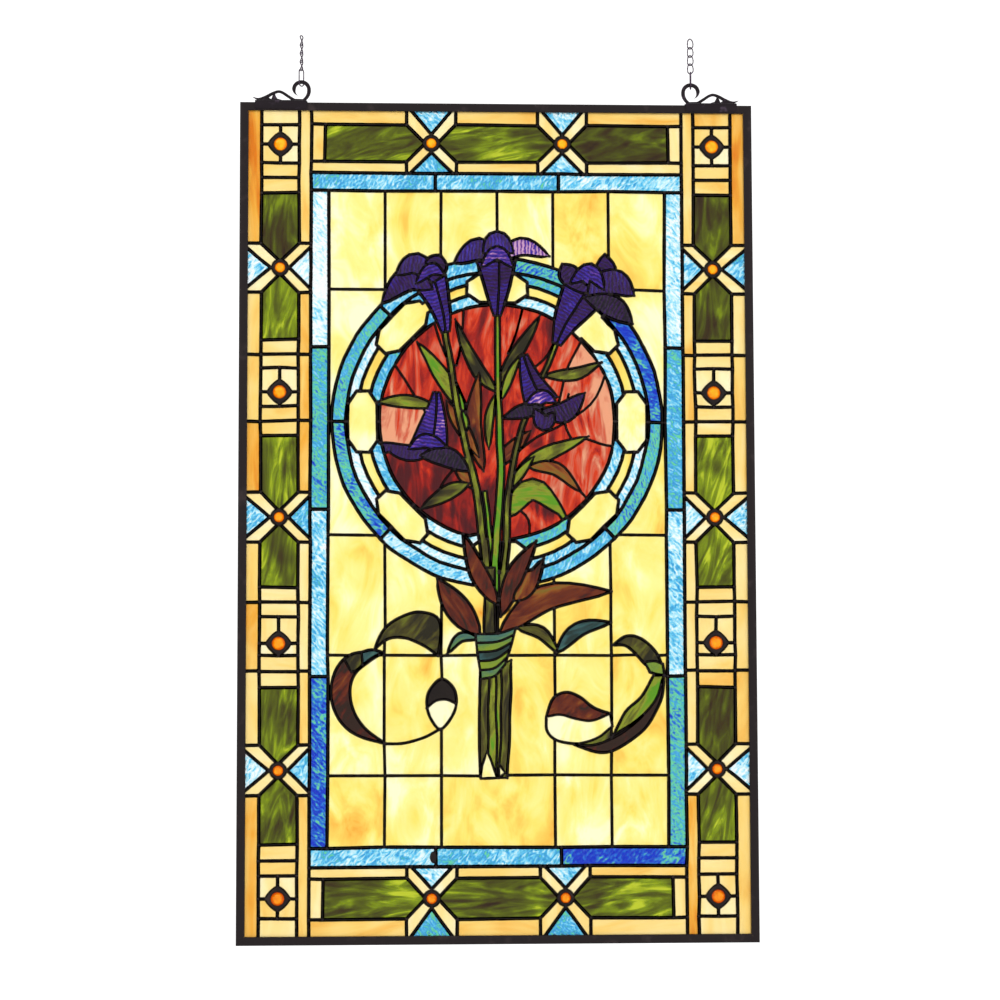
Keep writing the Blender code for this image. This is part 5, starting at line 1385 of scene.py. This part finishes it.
def hanger(name, side):
    eye = side * (PANEL_WIDTH / 2 - HANGER_INSET)

    def place(x, y, z):
        return (eye - side * x, HANGER_MIDDLE + y, PANEL_TOP + z)

    points, faces = [], []
    lofted(points, faces, hanger_route(), 0.0012, place)
    leaf = [((-0.0262, 0.0088), 0.0004), ((-0.0268, 0.0070), 0.0016), ((-0.0268, 0.0045), 0.0028),
            ((-0.0264, 0.0022), 0.0040), ((-0.0262, 0.0006), 0.0046)]
    lofted(points, faces, [(Vector(point), half) for point, half in leaf], 0.001, place)
    spur = [((-0.0285, 0.0030), 0.0018), ((-0.0225, 0.0022), 0.0017), ((-0.0175, 0.0012), 0.0010),
            ((-0.0150, 0.0007), 0.0004)]
    lofted(points, faces, [(Vector(point), half) for point, half in spur], 0.001, place)
    heap = [((-0.0405, 0.0016), 0.0012), ((-0.0365, 0.0026), 0.0024), ((-0.0325, 0.0028), 0.0026),
            ((-0.0295, 0.0018), 0.0014)]
    lofted(points, faces, [(Vector(point), half) for point, half in heap], 0.0012, place)
    base = [((-0.0120, 0.0010), 0.0007), ((-0.0075, 0.0018), 0.0015), ((-0.0020, 0.0020), 0.0018),
            ((0.0035, 0.0016), 0.0013), ((0.0062, 0.0008), 0.0005)]
    lofted(points, faces, [(Vector(point), half) for point, half in base], 0.0013, place)
    front, lap = FRAME_FRONT - 0.0013, FRAME_FRONT - 0.0003
    head, foot, back = 0.0018, 0.0003, HANGER_MIDDLE + 0.0024
    section = [(back, foot), (back, head - 0.0004), (back - 0.0004, head), (front + 0.0009, head),
               (front + 0.0003, head - 0.0003), (front, head - 0.0009), (front, -0.0066), (front + 0.0003, -0.0072),
               (lap, -0.0072), (lap, foot)]
    count, ends = len(section), (-0.0455, 0.0055)
    first = len(points)
    for x, inset in ((ends[0], 0.0005), (ends[0] + 0.0005, 0.0), (ends[1] - 0.0005, 0.0), (ends[1], 0.0005)):
        points += [(eye - side * x, y, PANEL_TOP + (z + inset if z < 0 else z - inset * (z > 0.001)))
                   for y, z in section]
    for ring in range(3):
        for k in range(count):
            a, b = first + ring * count, first + (ring + 1) * count
            faces.append((a + k, a + (k + 1) % count, b + (k + 1) % count, b + k))
    faces += [[first + k for k in range(count)], [first + 3 * count + k for k in range(count)]]
    return solid(name, points, faces, CAST_PATINA_AND_SHEEN, 40)


hangers = [("hanger_left", hanger("casting_left", -1)), ("hanger_right", hanger("casting_right", 1))]
print("hangers:", [len(obj.data.polygons) for _, obj in hangers], "faces")

# %% [markdown]
# ## The chains
# A chain link is a wire bent into a long ring and, in this kind of chain, twisted so that the links lie
# flat in a row. The wire's path goes in as a closed line of edges, and a second geometry tree sweeps a
# round section along it. The lengths and places of the links repeat those of the CAD model.

# %% Bend the links
WIRE = 0.0012


def wire_tree():
    tree, make, given = new_tree("bent wire", (("Geometry", "Geometry"), ("Thickness", "Float"),
                                               ("Sides", "Int"), ("Material", "Material")))
    curve = make.add("GeometryNodeMeshToCurve", {"Mesh": given["Geometry"]}).outputs[0]
    ring = make.add("GeometryNodeCurvePrimitiveCircle", {"Resolution": given["Sides"],
                    "Radius": make.math("MULTIPLY", given["Thickness"], 0.5)}).outputs["Curve"]
    wire = make.add("GeometryNodeCurveToMesh", {"Curve": curve, "Profile Curve": ring}).outputs[0]
    real = make.add("GeometryNodeRealizeInstances", {"Geometry": wire}).outputs[0]
    soft = make.add("GeometryNodeSetShadeSmooth", {"Geometry": real}).outputs[0]
    done = make.add("GeometryNodeSetMaterial", {"Geometry": soft, "Material": given["Material"]}).outputs[0]
    make.add("NodeGroupOutput", {"Geometry": done})
    return tree


def link_mesh(length, width, twist, place):
    """the wire's path as a closed line of edges"""
    radius = (width - WIRE) / 2
    straight = (length - WIRE) / 2 - radius
    path = []
    for start, centre in ((0, straight), (180, -straight)):
        for i in range(11):
            turn = math.radians(start + 18 * i)
            path.append((radius * math.cos(turn), centre + radius * math.sin(turn)))
        side = -1 if start == 0 else 1
        path += [(side * radius, side * straight * f * -1) for f in (-0.67, -0.33, 0.0, 0.33, 0.67)]
    reach = straight + radius
    points = [place @ Vector((x * math.cos(twist * z / reach), x * math.sin(twist * z / reach), z)) for x, z in path]
    mesh = bpy.data.meshes.new("link_path")
    mesh.from_pydata(points, [(i, (i + 1) % len(points)) for i in range(len(points))], [])
    return mesh


WIRES = wire_tree()
link_objects = []
for word, side, long_turn, turn, twist in (("left", -1, 45, 90, -45), ("right", 1, 90, 0, 45)):
    x, foot = side * (PANEL_WIDTH / 2 - HANGER_INSET), 0.01625
    for number in range(1, 6):
        length, width = (0.0185, 0.0074) if number == 1 else (0.0113, 0.0068)
        place = Matrix.Translation((x, HANGER_MIDDLE, PANEL_TOP + foot + length / 2)) @ Matrix.Rotation(
            math.radians(long_turn if number == 1 else turn), 4, "Z")
        path_mesh = link_mesh(length, width, 0.0 if number == 1 else math.radians(twist), place)
        node = f"chain_{word}_{number}"
        mesh = grown(node + "_wire", path_mesh, WIRES, {"Thickness": WIRE, "Sides": 12, "Material": CHAIN_METAL})
        obj = bpy.data.objects.new(node + "_wire", mesh)
        bpy.context.scene.collection.objects.link(obj)
        link_objects.append((node, obj))
        foot += length - 0.0029
print(len(link_objects), "links")

# %% [markdown]
# ## Which piece rides where
# Every piece rides on the panel's one body and stands for its CAD solids, which are hidden.

# %% Fasten the pieces
GLASS_SLOTS = {"cream": "glass_cream", "amber": "glass_cream", "blue": "glass_blue", "red": "glass_red",
               "violet": "glass_violet"}


def fasten(obj, slot, *nodes):
    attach(obj, "root")
    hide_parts(*nodes)


for (sheet, glass), obj in pane_objects.items():
    sheets = [sheet] if sheet in frame["nodes"] else []
    fasten(obj, GLASS_SLOTS.get(glass, "glass_green"), *sheets)
for word, seat in (("front", front_seats), ("back", back_seats)):
    fasten(beads[word], "solder", "solder_lines_" + word)
    fasten(seat, "solder", "solder_lines_" + word)
for pieces, finish in ((jewel_objects, "jewel"), (frame_pieces, "frame"), (hangers, "hanger"), (link_objects, "chain")):
    for node, obj in pieces:
        fasten(obj, finish, node)
print("sheets without a node:", sorted({sheet for sheet, _ in pane_objects if sheet not in frame["nodes"]}))
print("nodes left:", sorted(name for name, obj in frame["nodes"].items() if not obj.hide_render))

# %% [markdown]
# ## Light
# Stained glass is lit from behind, so the room behind the panel is white and bright. Soft lights in front
# keep the metal from going black.

# %% Light the panel
world = bpy.data.worlds.new("white room")
world.use_nodes = True
world.node_tree.nodes["Background"].inputs["Color"].default_value = (1.0, 1.0, 1.0, 1.0)
world.node_tree.nodes["Background"].inputs["Strength"].default_value = 1.2
bpy.context.scene.world = world
bpy.context.scene.view_settings.view_transform = "Standard"


def area_light(name, size, power, location, target):
    data = bpy.data.lights.new(name, "AREA")
    data.size = size
    data.energy = power
    light = bpy.data.objects.new(name, data)
    light.location = location
    light.rotation_euler = (Vector(target) - Vector(location)).to_track_quat("-Z", "Y").to_euler()
    bpy.context.scene.collection.objects.link(light)
    return light


area_light("light_left", 1.2, 9.0, (-1.6, -1.4, 0.8), (0, 0, -0.45))
area_light("light_right", 1.2, 5.0, (1.5, -1.8, 0.2), (0, 0, -0.45))

steps = 96
rim = [(1.6 * math.cos(2 * math.pi * i / steps), 1.6 * math.sin(2 * math.pi * i / steps), -1.3) for i in range(steps)]
floor_material, floor_make, floor_shader = new_material("pale floor")
floor_shader.inputs["Base Color"].default_value = (0.9, 0.9, 0.9, 1.0)
floor_shader.inputs["Roughness"].default_value = 0.8
floor = bpy.data.meshes.new("floor")
floor.from_pydata(rim, [], [list(range(steps))])
floor.materials.append(floor_material)
floor_object = bpy.data.objects.new("floor", floor)
bpy.context.scene.collection.objects.link(floor_object)
print("lights and floor ready")
